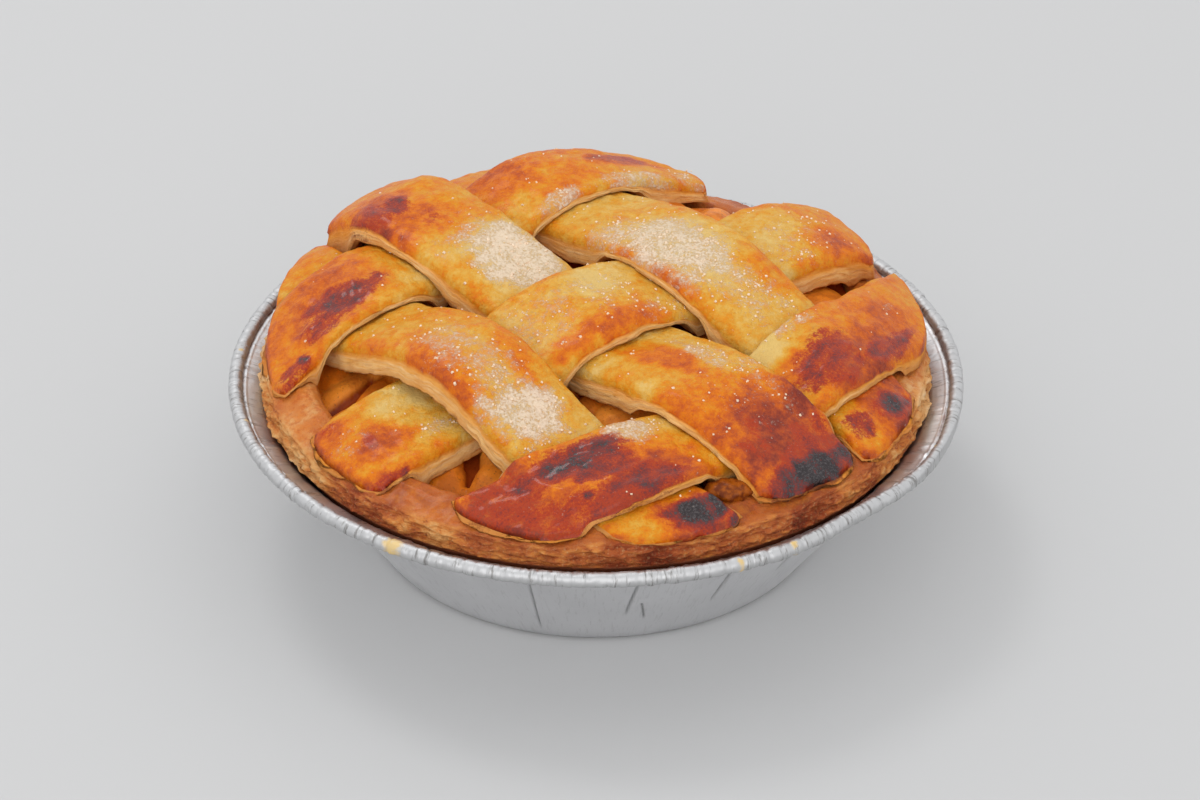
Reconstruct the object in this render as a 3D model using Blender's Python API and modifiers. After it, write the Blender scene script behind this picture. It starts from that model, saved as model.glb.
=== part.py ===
"""A small apple pie with a woven lattice top, baked in its own foil tin.

Metres, +Z up. The origin is the middle of the tin's underside, X runs to the right
along the front of the pie and Y away from the front. Blender 4.5.
"""

from math import atan2, cos, hypot, pi, radians, sin

import bmesh
import bpy
from mathutils import Vector, noise

MM = 0.001

# The foil tin
FOIL = 0.4 * MM
BASE_RADIUS = 40.8 * MM
BASE_FILLET = 1.6 * MM
WALL_TOP_RADIUS = 57.7 * MM
FLANGE_HEIGHT = 27.0 * MM
FLANGE_RADIUS = 60.5 * MM
FLANGE_LIFT = 0.9 * MM
CURL_RADIUS = 1.15 * MM
LIP_RADIUS = 63.5 * MM
LIP_MIDDLE_HEIGHT = 28.45 * MM
TIN_STEPS = 64
CURL_POINTS = 7
# Where the lip was knocked: its bearing in degrees, how far it moved out, and half its length
LIP_KNOCKS = ((336.0, 0.8 * MM, 9.0), (313.0, -1.1 * MM, 7.0), (118.0, -0.4 * MM, 12.0))

# The pastry case
GAP = 0.35 * MM
CASE_FLOOR_TOP = 4.0 * MM
CASE_INNER_BASE_RADIUS = 37.0 * MM
RIM_INNER_RADIUS = 48.6 * MM
RIM_CREST_RADIUS = 50.2 * MM
RIM_SLOPE_RADIUS = 53.4 * MM
RIM_SHOULDER_RADIUS = 56.6 * MM
RIM_OUTER_RADIUS = 57.8 * MM
RIM_HEIGHT = 32.2 * MM
RIM_TILT = 1.2 * MM
# How far the top of the rim climbs inwards from its shoulder, and over what width
RIM_RISE = 1.8 * MM
RIM_RISE_WIDTH = 6.2 * MM
# The rim tilts and waves only this far above the level where the case leaves the tin
RIM_ROOT_HEIGHT = 26.8 * MM
RIM_FREE_HEIGHT = 3.0 * MM
RIM_WAVE = 0.45 * MM
RIM_RAGGED = 0.35 * MM
CASE_STEPS = 96

# The heap of filling
FILLING_RADIUS = 48.0 * MM
FILLING_SIDE_RADIUS = 46.9 * MM
FILLING_BASE_RADIUS = 36.4 * MM
FILLING_SIDE_HEIGHT = 23.5 * MM
FILLING_DEPTH = 7.6 * MM
LUMP_HEIGHT = 0.7 * MM
LUMP_SIZE = 7.0 * MM
FILLING_STEPS = 44
FILLING_RINGS = 11

# The surface that the tops of the strips weave above and below
LEVEL_MIDDLE = 45.2 * MM
LEVEL_EDGE = 34.0 * MM
LEVEL_RADIUS = 57.0 * MM
LEVEL_POWER = 3.9
LEVEL_RISE_RIGHT = 1.0 * MM
LEVEL_RISE_BACK = 5.5 * MM

# What the strips share
STRIP_THICKNESS = 5.0 * MM
# Over the rim the underside may hang this much lower, so that the ends settle onto it
END_SETTLE = 3.5 * MM
END_SETTLE_FROM = 46.0 * MM
END_SETTLE_WIDTH = 5.0 * MM
STRIP_THINNEST = 2.4 * MM
# Near the rim a strip may be pressed thinner, and its top runs onto the rim in a long curve
STRIP_PRESSED = 1.3 * MM
PRESSED_FROM = 49.0 * MM
PRESSED_WIDTH = 6.0 * MM
ONTO_RIM_BLEND = 5.0 * MM
WEAVE_HEIGHT = 2.6 * MM
WEAVE_RUN_OUT = 26.0 * MM
CROWN = 1.0 * MM
CROWN_POWER = 4.0
SIDE_FLARES = (0.0, 0.55 * MM, 0.2 * MM, 0.85 * MM)
# The ends are trimmed round the pie: this much shorter at their corners, longer at the flares
CORNER_TRIM = 1.0 * MM
CORNER_POWER = 6.0
END_FLARE_SHARE = 0.7
LONGEST_REACH = 70.0 * MM
END_RISE_FROM = 28.0 * MM
END_RISE_WIDTH = 20.0 * MM
BOW_SPAN = 50.0 * MM
WOBBLE = 0.35 * MM
STRIP_GAP = 0.75 * MM
# A strip stays above the one below it for this far beyond its edge, then may slope down
LIFT_MARGIN = 3.0 * MM
LIFT_SLOPE = 0.9
# Over this width inside the rim, a strip's bed climbs the last part of the rim's height
BED_CLIMB_WIDTH = 9.0 * MM
BED_CLIMB_HEIGHT = 7.0 * MM
LENGTH_CELLS = 28
WIDTH_CELLS = 6

# Each strip: family, place in the family, offset from the middle, heading in degrees, bow at
# either end, width, roll, how far it arches over and sinks under, as shares of the weave, how
# far from the middle of the pie its two ends reach at either side, and how far each end rises.
STRIPS = {
    "lattice_left": (
        ("down", 0, -29.5, -47.0, 3.3, 3.0, 17.5, -1.6, 2.2, 1.2),
        ((57.2, 57.2), (57.0, 56.6)),
        (3.8, 0.0),
    ),
    "lattice_middle": (
        ("down", 1, -5.6, -43.6, 2.6, 0.0, 19.6, -0.6, 1.0, 1.0),
        ((57.4, 57.0), (55.0, 55.8)),
        (4.2, 0.0),
    ),
    "lattice_right": (
        ("down", 2, 18.4, -46.7, 0.0, 0.0, 18.8, 0.0, 1.0, 1.0),
        ((56.0, 56.0), (56.8, 56.8)),
        (0.0, -1.5),
    ),
    "lattice_back": (
        ("across", 0, 32.6, 43.0, 1.0, -6.5, 18.9, 1.2, 0.95, 1.0),
        ((56.0, 57.2), (49.2, 54.6)),
        (0.0, -1.5),
    ),
    "lattice_centre": (
        ("across", 1, -3.7, 37.3, 0.0, 0.5, 19.5, 0.2, 0.95, 1.0),
        ((56.6, 55.8), (54.8, 55.8)),
        (0.0, 0.0),
    ),
    "lattice_front": (
        ("across", 2, -37.4, 40.9, 8.8, 9.3, 16.7, -0.6, 0.76, 1.0),
        ((57.2, 54.0), (57.2, 57.2)),
        (0.0, 0.0),
    ),
}

COLOURS = {
    "foil": (0.78, 0.78, 0.80),
    "case": (0.56, 0.27, 0.10),
    "filling": (0.46, 0.19, 0.06),
    "lattice": (0.78, 0.44, 0.13),
}


def soft_step(share):
    share = min(max(share, 0.0), 1.0)
    return share * share * (3.0 - 2.0 * share)


def soft_max(a, b, blend=1.2 * MM):
    """The larger of two heights, rounded where they meet, and never below either."""
    overlap = max(blend - abs(a - b), 0.0) / blend
    return max(a, b) + overlap * overlap * blend / 4.0


def ripple(x, y, z, size):
    """Smooth unevenness from -1 to 1, with bumps about one size across."""
    return noise.noise(Vector((x / size, y / size, z / size)))


def level(x, y):
    """The height that the strips' tops weave about: a dome that stands higher at the back."""
    reach = min(hypot(x, y) / LEVEL_RADIUS, 1.15)
    dome = LEVEL_MIDDLE - (LEVEL_MIDDLE - LEVEL_EDGE) * reach**LEVEL_POWER
    return dome + LEVEL_RISE_RIGHT * x / LEVEL_RADIUS + LEVEL_RISE_BACK * y / LEVEL_RADIUS


def filling_top(x, y):
    lumps = LUMP_HEIGHT * ripple(x, y, 0.0, LUMP_SIZE)
    return level(x, y) - FILLING_DEPTH + lumps


def rim_top(angle):
    wave = RIM_WAVE * ripple(30.0 * MM * cos(angle), 30.0 * MM * sin(angle), 0.04, 6.0 * MM)
    return RIM_HEIGHT + RIM_TILT * sin(angle) + wave


def rim_surface(radius, angle):
    """The top of the rim, which climbs inwards from its shoulder to its crest."""
    inward = min(max((RIM_SHOULDER_RADIUS - radius) / RIM_RISE_WIDTH, 0.0), 1.0)
    return rim_top(angle) + RIM_RISE * inward * (2.0 - inward)


def bed(x, y):
    """What a strip lies on: the filling, and outside it the rim of the case."""
    radius = hypot(x, y)
    rim = rim_surface(radius, atan2(y, x))
    if radius > RIM_CREST_RADIUS:
        return rim
    onto_rim = soft_step(1.0 - (RIM_CREST_RADIUS - radius) / BED_CLIMB_WIDTH)
    return max(rim - (1.0 - onto_rim) * BED_CLIMB_HEIGHT, filling_top(x, y))


class Strip:
    """One cut strip of pastry, from its start at the left to its end at the right."""

    def __init__(self, name, course, reach, rise):
        family, place, offset, heading, bow_start, bow_end, width, roll, arch, sink = course
        self.name = name
        self.family = family
        self.place_in_family = place
        self.offset = offset * MM
        self.along_x = cos(radians(heading))
        self.along_y = sin(radians(heading))
        self.bows = (bow_start * MM, bow_end * MM)
        self.half_width = width * MM / 2.0
        self.roll = roll * MM
        self.arch = arch
        self.sink = sink
        self.reach = [(left * MM, right * MM) for left, right in reach]
        self.rise = (rise[0] * MM, rise[1] * MM)
        self.crossings = []

    def goes_over(self, other):
        crosses_odd = (self.place_in_family + other.place_in_family) % 2 == 1
        return crosses_odd == (self.family == "down")

    def middle_line(self, along):
        bow = self.bows[0] if along < 0.0 else self.bows[1]
        return self.offset + bow * (along / BOW_SPAN) ** 2

    def point(self, along, across):
        side = self.middle_line(along) + across
        return (
            along * self.along_x - side * self.along_y,
            along * self.along_y + side * self.along_x,
        )

    def local(self, x, y):
        along = x * self.along_x + y * self.along_y
        side = y * self.along_x - x * self.along_y
        return along, side - self.middle_line(along)

    def find_crossings(self, strips):
        """Where each strip of the other family crosses, and whether this one is on top there."""
        for other in strips:
            if other.family == self.family:
                continue
            along = 0.0
            for _ in range(12):
                x, y = self.point(along, 0.0)
                _, across = other.local(x, y)
                turn = self.along_y * other.along_x - self.along_x * other.along_y
                along -= across / turn
            self.crossings.append((along, other))
        self.crossings.sort(key=lambda crossing: crossing[0])

    def weave(self, along):
        """How far the strip rises, going over, or sinks, going under, at this place."""
        stops = [(self.crossings[0][0] - WEAVE_RUN_OUT, 0.0)]
        for at, other in self.crossings:
            stops.append((at, self.arch if self.goes_over(other) else -self.sink))
        stops.append((self.crossings[-1][0] + WEAVE_RUN_OUT, 0.0))
        if not stops[0][0] < along < stops[-1][0]:
            return 0.0
        for (before, low), (after, high) in zip(stops, stops[1:]):
            if along <= after:
                return low + (high - low) * soft_step((along - before) / (after - before))
        return 0.0

    def edge_wobble(self, along, across):
        return WOBBLE * ripple(along, across, self.offset, 9.0 * MM)

    def lift(self, x, y):
        """The lowest that this strip's underside may be: above its bed and the strips below."""
        height = bed(x, y) + STRIP_GAP
        for _, other in self.crossings:
            if not self.goes_over(other):
                continue
            _, across = other.local(x, y)
            beyond = abs(across) - other.half_width
            if beyond < LIFT_MARGIN:
                height = max(height, other.top(x, y) + STRIP_GAP)
            elif beyond < 3.0 * LIFT_MARGIN:
                slope = LIFT_SLOPE * (beyond - LIFT_MARGIN)
                height = max(height, other.woven(x, y) + STRIP_GAP - slope)
        return height

    def end_rise(self, along):
        """How far an end puffed up, or was pressed down, before it meets the rim."""
        rise = self.rise[0] if along < 0.0 else self.rise[1]
        return rise * soft_step((abs(along) - END_RISE_FROM) / END_RISE_WIDTH)

    def thinnest(self, x, y):
        pressed = soft_step((hypot(x, y) - PRESSED_FROM) / PRESSED_WIDTH)
        return STRIP_THINNEST + (STRIP_PRESSED - STRIP_THINNEST) * pressed

    def woven(self, x, y):
        """Where its top would be if no strip below held it up."""
        along, across = self.local(x, y)
        share = min(abs(across) / self.half_width, 1.1)
        height = level(x, y) + WEAVE_HEIGHT * self.weave(along) + self.end_rise(along)
        height += self.roll * across / self.half_width - CROWN * share**CROWN_POWER
        height += 0.5 * self.edge_wobble(along, across)
        crest = rim_surface(max(hypot(x, y), RIM_CREST_RADIUS), atan2(y, x))
        return soft_max(height, crest + STRIP_GAP + self.thinnest(x, y), ONTO_RIM_BLEND)

    def top(self, x, y):
        return soft_max(self.woven(x, y), self.lift(x, y) + self.thinnest(x, y))

    def end_of(self, across, direction, flare):
        """How far along the strip a line at this distance across it was trimmed."""
        left, right = self.reach[0] if direction < 0.0 else self.reach[1]
        share = across / self.half_width
        radius = (left + right) / 2.0 - (left - right) / 2.0 * share + flare
        radius -= CORNER_TRIM * abs(share) ** CORNER_POWER
        near = 0.0
        far = LONGEST_REACH
        for _ in range(30):
            middle = (near + far) / 2.0
            if hypot(*self.point(direction * middle, across)) < radius:
                near = middle
            else:
                far = middle
        return direction * near

    def surface_point(self, share_along, share_across, depth_index):
        """A point of the strip's skin: depth 0 is its top and the last depth its underside."""
        depths = len(SIDE_FLARES) - 1
        flare = SIDE_FLARES[depth_index]
        across = share_across * (self.half_width + flare)
        start = self.end_of(across, -1.0, END_FLARE_SHARE * flare)
        end = self.end_of(across, 1.0, END_FLARE_SHARE * flare)
        along = start + (end - start) * share_along
        across += share_across * self.edge_wobble(along, share_across * 5.0 * MM)
        x, y = self.point(along, across)
        top = self.top(x, y)
        settle = END_SETTLE * soft_step((hypot(x, y) - END_SETTLE_FROM) / END_SETTLE_WIDTH)
        bottom = max(top - STRIP_THICKNESS - settle, self.lift(x, y))
        return Vector((x, y, top + (bottom - top) * depth_index / depths))


def remove_everything():
    for obj in list(bpy.data.objects):
        bpy.data.objects.remove(obj, do_unlink=True)
    for mesh in list(bpy.data.meshes):
        bpy.data.meshes.remove(mesh)


def material(name, colour, roughness, metallic=0.0):
    made = bpy.data.materials.new(name)
    made.use_nodes = True
    shader = made.node_tree.nodes["Principled BSDF"]
    shader.inputs["Base Color"].default_value = (*colour, 1.0)
    shader.inputs["Roughness"].default_value = roughness
    shader.inputs["Metallic"].default_value = metallic
    made.diffuse_color = (*colour, 1.0)
    return made


def added(name, mesh, collection, finish):
    obj = bpy.data.objects.new(name, mesh)
    collection.objects.link(obj)
    mesh.materials.clear()
    mesh.materials.append(finish)
    mesh.shade_smooth()
    mesh.set_sharp_from_angle(angle=radians(50.0))
    return obj


def turned(profile, steps):
    """The mesh of a profile of radii and heights, turned once round the Z axis."""
    mesh = bpy.data.meshes.new("profile")
    points = [(radius, 0.0, height) for radius, height in profile]
    mesh.from_pydata(points, [(i, i + 1) for i in range(len(points) - 1)], [])
    obj = bpy.data.objects.new("profile", mesh)
    bpy.context.scene.collection.objects.link(obj)
    screw = obj.modifiers.new("Screw", "SCREW")
    screw.axis = "Z"
    screw.angle = 2.0 * pi
    screw.steps = steps
    screw.render_steps = steps
    screw.use_merge_vertices = True
    screw.merge_threshold = 0.00001
    bpy.context.view_layer.update()
    graph = bpy.context.evaluated_depsgraph_get()
    result = bpy.data.meshes.new_from_object(obj.evaluated_get(graph))
    bpy.data.objects.remove(obj, do_unlink=True)
    return result


def wall_radius(height):
    """The middle of the foil on the tin's straight wall."""
    share = height / FLANGE_HEIGHT
    return BASE_RADIUS + (WALL_TOP_RADIUS - BASE_RADIUS) * share


def tin_profile():
    """The middle of the foil, from the rolled lip in and down to the middle of the base."""
    curl_middle = LIP_RADIUS - CURL_RADIUS - FOIL / 2.0
    points = []
    for i in range(CURL_POINTS):
        angle = radians(-75.0 + 255.0 * i / (CURL_POINTS - 1))
        out = curl_middle + CURL_RADIUS * cos(angle)
        points.append((out, LIP_MIDDLE_HEIGHT + CURL_RADIUS * sin(angle)))
    points.append((FLANGE_RADIUS, FLANGE_HEIGHT + FLANGE_LIFT))
    points.append((WALL_TOP_RADIUS + 0.6 * MM, FLANGE_HEIGHT))
    points.append((wall_radius(FLANGE_HEIGHT - 0.8 * MM), FLANGE_HEIGHT - 0.8 * MM))
    points.append((wall_radius(13.0 * MM), 13.0 * MM))
    points.append((wall_radius(BASE_FILLET), BASE_FILLET))
    points.append((BASE_RADIUS - 0.35 * BASE_FILLET, 0.35 * BASE_FILLET))
    points.append((BASE_RADIUS - BASE_FILLET, FOIL / 2.0))
    points.append((0.0, FOIL / 2.0))
    return points


def knock_lip(mesh):
    """Moves the lip in and out where the foil was bent by hand."""
    for vertex in mesh.vertices:
        x, y, z = vertex.co
        radius = hypot(x, y)
        share = soft_step((radius - WALL_TOP_RADIUS - 1.0 * MM) / (3.0 * MM))
        if share == 0.0:
            continue
        bearing = atan2(y, x) * 180.0 / pi % 360.0
        move = 0.0
        for middle, reach, half_length in LIP_KNOCKS:
            away = (bearing - middle + 180.0) % 360.0 - 180.0
            move += reach * 2.0 ** (-((away / half_length) ** 2))
        grown = (radius + share * move) / radius
        vertex.co = (x * grown, y * grown, z)


def make_tin(collection):
    mesh = turned(tin_profile(), TIN_STEPS)
    knock_lip(mesh)
    tin = added("tin", mesh, collection, material("foil", COLOURS["foil"], 0.32, 1.0))
    foil = tin.modifiers.new("Foil", "SOLIDIFY")
    foil.thickness = FOIL
    foil.offset = 0.0
    foil.use_even_offset = True


def case_outside(height):
    """The outer radius of the pastry case, a gap inside the foil."""
    return wall_radius(height) - FOIL / 2.0 - 1.6 * GAP


def case_profile():
    """From the middle of the floor inside, up, over the flaky rim, and down the outside."""
    rim = RIM_HEIGHT
    crest = RIM_HEIGHT + RIM_RISE
    inner = RIM_INNER_RADIUS
    outer = RIM_OUTER_RADIUS
    base_clear = FOIL + GAP
    return [
        (0.0, CASE_FLOOR_TOP),
        (CASE_INNER_BASE_RADIUS, CASE_FLOOR_TOP),
        (inner - 0.2 * MM, RIM_ROOT_HEIGHT - 1.8 * MM),
        (inner, crest - 1.8 * MM),
        (inner + 0.5 * MM, crest - 0.6 * MM),
        (RIM_CREST_RADIUS, crest),
        (RIM_SLOPE_RADIUS, rim + rim_surface(RIM_SLOPE_RADIUS, 0.0) - rim_top(0.0)),
        (RIM_SHOULDER_RADIUS, rim),
        (outer - 0.4 * MM, rim - 1.0 * MM),
        (outer, rim - 2.4 * MM),
        (outer - 0.1 * MM, rim - 3.6 * MM),
        (case_outside(26.0 * MM), 26.0 * MM),
        (case_outside(3.0 * MM), 3.0 * MM),
        (case_outside(base_clear) - 1.4 * MM, base_clear),
        (0.0, base_clear),
    ]


def bake_rim(mesh):
    """Tilts the rim up to the back, waves its top and breaks its outer edge into flakes."""
    for vertex in mesh.vertices:
        x, y, z = vertex.co
        radius = hypot(x, y)
        share = soft_step((z - RIM_ROOT_HEIGHT) / RIM_FREE_HEIGHT)
        if share == 0.0 or radius == 0.0:
            continue
        angle = atan2(y, x)
        height = z + share * (rim_top(angle) - RIM_HEIGHT)
        ragged = 0.0
        if radius > RIM_OUTER_RADIUS - 1.2 * MM:
            ragged = RIM_RAGGED * ripple(x, y, 3.0 * z, 3.0 * MM) - 0.5 * RIM_RAGGED
        reach = radius + share * ragged
        if height < FLANGE_HEIGHT + FOIL / 2.0 + GAP:
            reach = min(reach, case_outside(min(height, FLANGE_HEIGHT)))
        vertex.co = (x * reach / radius, y * reach / radius, height)


def make_case(collection):
    mesh = turned(case_profile(), CASE_STEPS)
    bake_rim(mesh)
    added("bottom_crust", mesh, collection, material("case", COLOURS["case"], 0.7))


def filling_profile():
    """From the middle of the heap out to its edge, then down the side to its base."""
    points = []
    for i in range(FILLING_RINGS + 1):
        share = i / FILLING_RINGS
        points.append((FILLING_RADIUS * share, LEVEL_MIDDLE))
    points.append((FILLING_SIDE_RADIUS, FILLING_SIDE_HEIGHT))
    points.append((FILLING_BASE_RADIUS, CASE_FLOOR_TOP + GAP))
    points.append((0.0, CASE_FLOOR_TOP + GAP))
    return points


def make_filling(collection):
    mesh = turned(filling_profile(), FILLING_STEPS)
    for vertex in mesh.vertices:
        if vertex.co.z > FILLING_SIDE_HEIGHT + 1.0 * MM:
            vertex.co.z = filling_top(vertex.co.x, vertex.co.y)
    added("filling", mesh, collection, material("filling", COLOURS["filling"], 0.35))


def cut_evenly(mesh, axis, cells):
    """Cuts a box from 0 to 1 into equal cells along one axis."""
    normal = Vector((0.0, 0.0, 0.0))
    normal[axis] = 1.0
    for i in range(1, cells):
        geometry = mesh.verts[:] + mesh.edges[:] + mesh.faces[:]
        bmesh.ops.bisect_plane(mesh, geom=geometry, plane_co=normal * (i / cells), plane_no=normal)


def make_strip(strip, collection, finish):
    """A box, cut into cells, whose every point is carried to its place on the strip's skin."""
    depths = len(SIDE_FLARES) - 1
    box = bmesh.new()
    bmesh.ops.create_cube(box, size=1.0)
    bmesh.ops.translate(box, verts=box.verts, vec=(0.5, 0.5, 0.5))
    cut_evenly(box, 0, LENGTH_CELLS)
    cut_evenly(box, 1, WIDTH_CELLS)
    cut_evenly(box, 2, depths)
    for vertex in box.verts:
        share_along, share_across, height = vertex.co
        depth_index = round((1.0 - height) * depths)
        vertex.co = strip.surface_point(share_along, 2.0 * share_across - 1.0, depth_index)
    mesh = bpy.data.meshes.new(strip.name)
    box.to_mesh(mesh)
    box.free()
    added(strip.name, mesh, collection, finish)


def make_lattice(collection):
    strips = [Strip(name, *values) for name, values in STRIPS.items()]
    for strip in strips:
        strip.find_crossings(strips)
    for strip in strips:
        finish = material(strip.name, COLOURS["lattice"], 0.4)
        make_strip(strip, collection, finish)


def main():
    remove_everything()
    collection = bpy.data.collections.new("Apple_pie")
    bpy.context.scene.collection.children.link(collection)
    make_tin(collection)
    make_case(collection)
    make_filling(collection)
    make_lattice(collection)


main()
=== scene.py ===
"""The looks of a small apple pie with a woven lattice top, in its own foil tin.

A Blender 4.5 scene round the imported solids. Lengths are in millimetres up to the place
where a mesh is made. A place given by two numbers "in the photo" is in its frame of
1200 by 800 pixels, and is carried down the camera's ray onto the pastry.
"""

from math import cos, pi, radians, sin

import bpy
import numpy as np
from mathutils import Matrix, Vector


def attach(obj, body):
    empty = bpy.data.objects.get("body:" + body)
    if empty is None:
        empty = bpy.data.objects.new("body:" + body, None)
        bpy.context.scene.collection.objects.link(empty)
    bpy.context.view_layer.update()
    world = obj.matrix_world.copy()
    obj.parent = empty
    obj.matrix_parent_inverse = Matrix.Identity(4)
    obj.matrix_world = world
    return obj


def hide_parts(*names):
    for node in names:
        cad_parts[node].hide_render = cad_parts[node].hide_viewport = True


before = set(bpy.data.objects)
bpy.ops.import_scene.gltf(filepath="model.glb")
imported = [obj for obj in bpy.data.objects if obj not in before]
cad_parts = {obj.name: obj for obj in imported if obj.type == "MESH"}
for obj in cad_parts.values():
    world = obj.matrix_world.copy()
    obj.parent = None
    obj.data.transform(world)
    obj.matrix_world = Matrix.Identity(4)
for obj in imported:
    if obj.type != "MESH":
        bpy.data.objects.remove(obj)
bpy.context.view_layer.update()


# The camera stands where the photo's did: in front of the pie, about 58 cm away, and looks down
# at it through a long lens.
MM = 0.001
CAMERA_TARGET = np.array((0.7, 0.0, 22.0))
CAMERA_DISTANCE = 581.2
CAMERA_DOWN = radians(32.92)
LENS = 100.0
SENSOR = 36.0
PHOTO_WIDTH = 1200.0
PHOTO_HEIGHT = 800.0
NEAREST_SEEN = 0.01

forward = np.array((0.0, cos(CAMERA_DOWN), -sin(CAMERA_DOWN)))
upward = np.array((0.0, sin(CAMERA_DOWN), cos(CAMERA_DOWN)))
rightward = np.array((1.0, 0.0, 0.0))
camera_place = CAMERA_TARGET - CAMERA_DISTANCE * forward
camera = bpy.data.objects.new("camera", bpy.data.cameras.new("camera"))
bpy.context.scene.collection.objects.link(camera)
camera.data.lens = LENS
camera.data.sensor_width = SENSOR
camera.data.clip_start = NEAREST_SEEN
camera.location = camera_place * MM
camera.rotation_euler = (pi / 2.0 - CAMERA_DOWN, 0.0, 0.0)
bpy.context.scene.camera = camera


def photo_ray(across, down):
    """The direction in which the camera sees a place in the photo."""
    per_pixel = SENSOR / LENS / PHOTO_WIDTH
    right = (across - PHOTO_WIDTH / 2.0) * per_pixel
    up = (PHOTO_HEIGHT / 2.0 - down) * per_pixel
    return forward + right * rightward + up * upward


# Light and floor: a pale matt table in an even pale room, with a small soft light high at the
# back left and a broad one low in front, so that the shadows are faint. Lengths here are in metres.
ROOM_COLOUR = (0.985, 0.99, 1.0, 1.0)
ROOM_STRENGTH = 1.02
LIT_PLACE = (0.0, 0.0, 0.03)
FLOOR_HALF = 3.0
FLOOR_GAP = 0.0001
FLOOR_COLOUR = (0.54, 0.54, 0.54, 1.0)
FLOOR_ROUGHNESS = 0.7

scene = bpy.context.scene
scene.view_settings.view_transform = "Standard"
world = bpy.data.worlds.new("room")
scene.world = world
world.use_nodes = True
world.node_tree.nodes["Background"].inputs["Color"].default_value = ROOM_COLOUR
world.node_tree.nodes["Background"].inputs["Strength"].default_value = ROOM_STRENGTH


def soft_light(name, place, size, power):
    """A square light that faces the pie."""
    light = bpy.data.lights.new(name, "AREA")
    light.shape = "SQUARE"
    light.size = size
    light.energy = power
    lamp = bpy.data.objects.new(name, light)
    scene.collection.objects.link(lamp)
    lamp.location = place
    aim = Vector(LIT_PLACE) - lamp.location
    lamp.rotation_euler = aim.to_track_quat("-Z", "Y").to_euler()


soft_light("window", (-0.36, 0.46, 1.0), 0.32, 1.6)
soft_light("fill", (-0.1, -1.1, 0.6), 1.0, 3.6)

floor_mesh = bpy.data.meshes.new("floor")
floor_corners = [(a * FLOOR_HALF, b * FLOOR_HALF, 0.0) for a, b in ((-1, -1), (1, -1), (1, 1), (-1, 1))]
floor_mesh.from_pydata(floor_corners, [], [(0, 1, 2, 3)])
floor = bpy.data.objects.new("floor", floor_mesh)
scene.collection.objects.link(floor)
floor.location.z = -FLOOR_GAP
floor_paint = bpy.data.materials.new("table")
floor_paint.use_nodes = True
floor_shader = floor_paint.node_tree.nodes["Principled BSDF"]
floor_shader.inputs["Base Color"].default_value = FLOOR_COLOUR
floor_shader.inputs["Roughness"].default_value = FLOOR_ROUGHNESS
floor_mesh.materials.append(floor_paint)


# The tin: thin pressed aluminium foil. Its flange is pleated where the flat sheet was drawn in, its
# rolled lip is wrinkled across, and its wall has a few pressed-flat folds.
# Large odd numbers that scramble a cell's place into 16 random bits
SCRAMBLE_PLACE = (374761393, 668265263, 2147483647)
SCRAMBLE_AGAIN = 1274126177
HALF_OF_BITS = 32767.5


def ripple(x, y, z, size):
    """Smooth unevenness from -1 to 1, with bumps about one size across, on whole arrays."""
    x, y, z = np.broadcast_arrays(x / size, y / size, z / size)
    cells = [np.floor(v).astype(np.int64) for v in (x, y, z)]
    parts = [v - c for v, c in zip((x, y, z), cells)]
    eased = [p * p * p * (p * (p * 6.0 - 15.0) + 10.0) for p in parts]
    total = np.zeros(x.shape)
    for corner in range(8):
        steps = (corner & 1, corner >> 1 & 1, corner >> 2 & 1)
        mixed = np.zeros(x.shape, np.int64)
        share = np.ones(x.shape)
        for cell, ease, step, scramble in zip(cells, eased, steps, SCRAMBLE_PLACE):
            mixed += (cell + step) * scramble
            share = share * (ease if step else 1.0 - ease)
        mixed = (mixed ^ (mixed >> 13)) * SCRAMBLE_AGAIN & 0x7FFFFFFF
        mixed = (mixed ^ (mixed >> 16)) & 0xFFFF
        total += share * (mixed / HALF_OF_BITS - 1.0)
    return total


def ripples(x, y, z, layers):
    """Ripples on top of one another: the height and the size of each."""
    return sum(height * ripple(x, y, z, size) for height, size in layers)


def soft_step(share):
    """0 below 0 and 1 above 1, with a smooth rise between."""
    share = np.clip(share, 0.0, 1.0)
    return share * share * (3.0 - 2.0 * share)


def bell(share):
    """1 in the middle, about a third where the share is 1 or -1, and next to nothing beyond 2."""
    return np.exp(-(share**2))


class Value:
    """A number, colour or vector inside a material. Arithmetic on it adds Math nodes."""

    def __init__(self, paint, socket):
        self.paint = paint
        self.socket = socket

    def math(self, operation, first, second):
        """One Math node on two numbers or links."""
        return self.paint.node("Math", {"operation": operation}, {0: first, 1: second})

    def __add__(self, other):
        return self.math("ADD", self, other)

    def __sub__(self, other):
        return self.math("SUBTRACT", self, other)

    def __mul__(self, other):
        return self.math("MULTIPLY", self, other)

    def __rsub__(self, other):
        return self.math("SUBTRACT", other, self)

    __radd__ = __add__
    __rmul__ = __mul__

    def clamped(self):
        """The same number, held between 0 and 1."""
        return self.paint.node("Clamp", {}, {"Value": self})

    def step(self, low, high):
        """0 below low and 1 above high, with a smooth rise between."""
        settings = {"interpolation_type": "SMOOTHSTEP"}
        return self.paint.node("MapRange", settings, {"Value": self, "From Min": low, "From Max": high})


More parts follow.
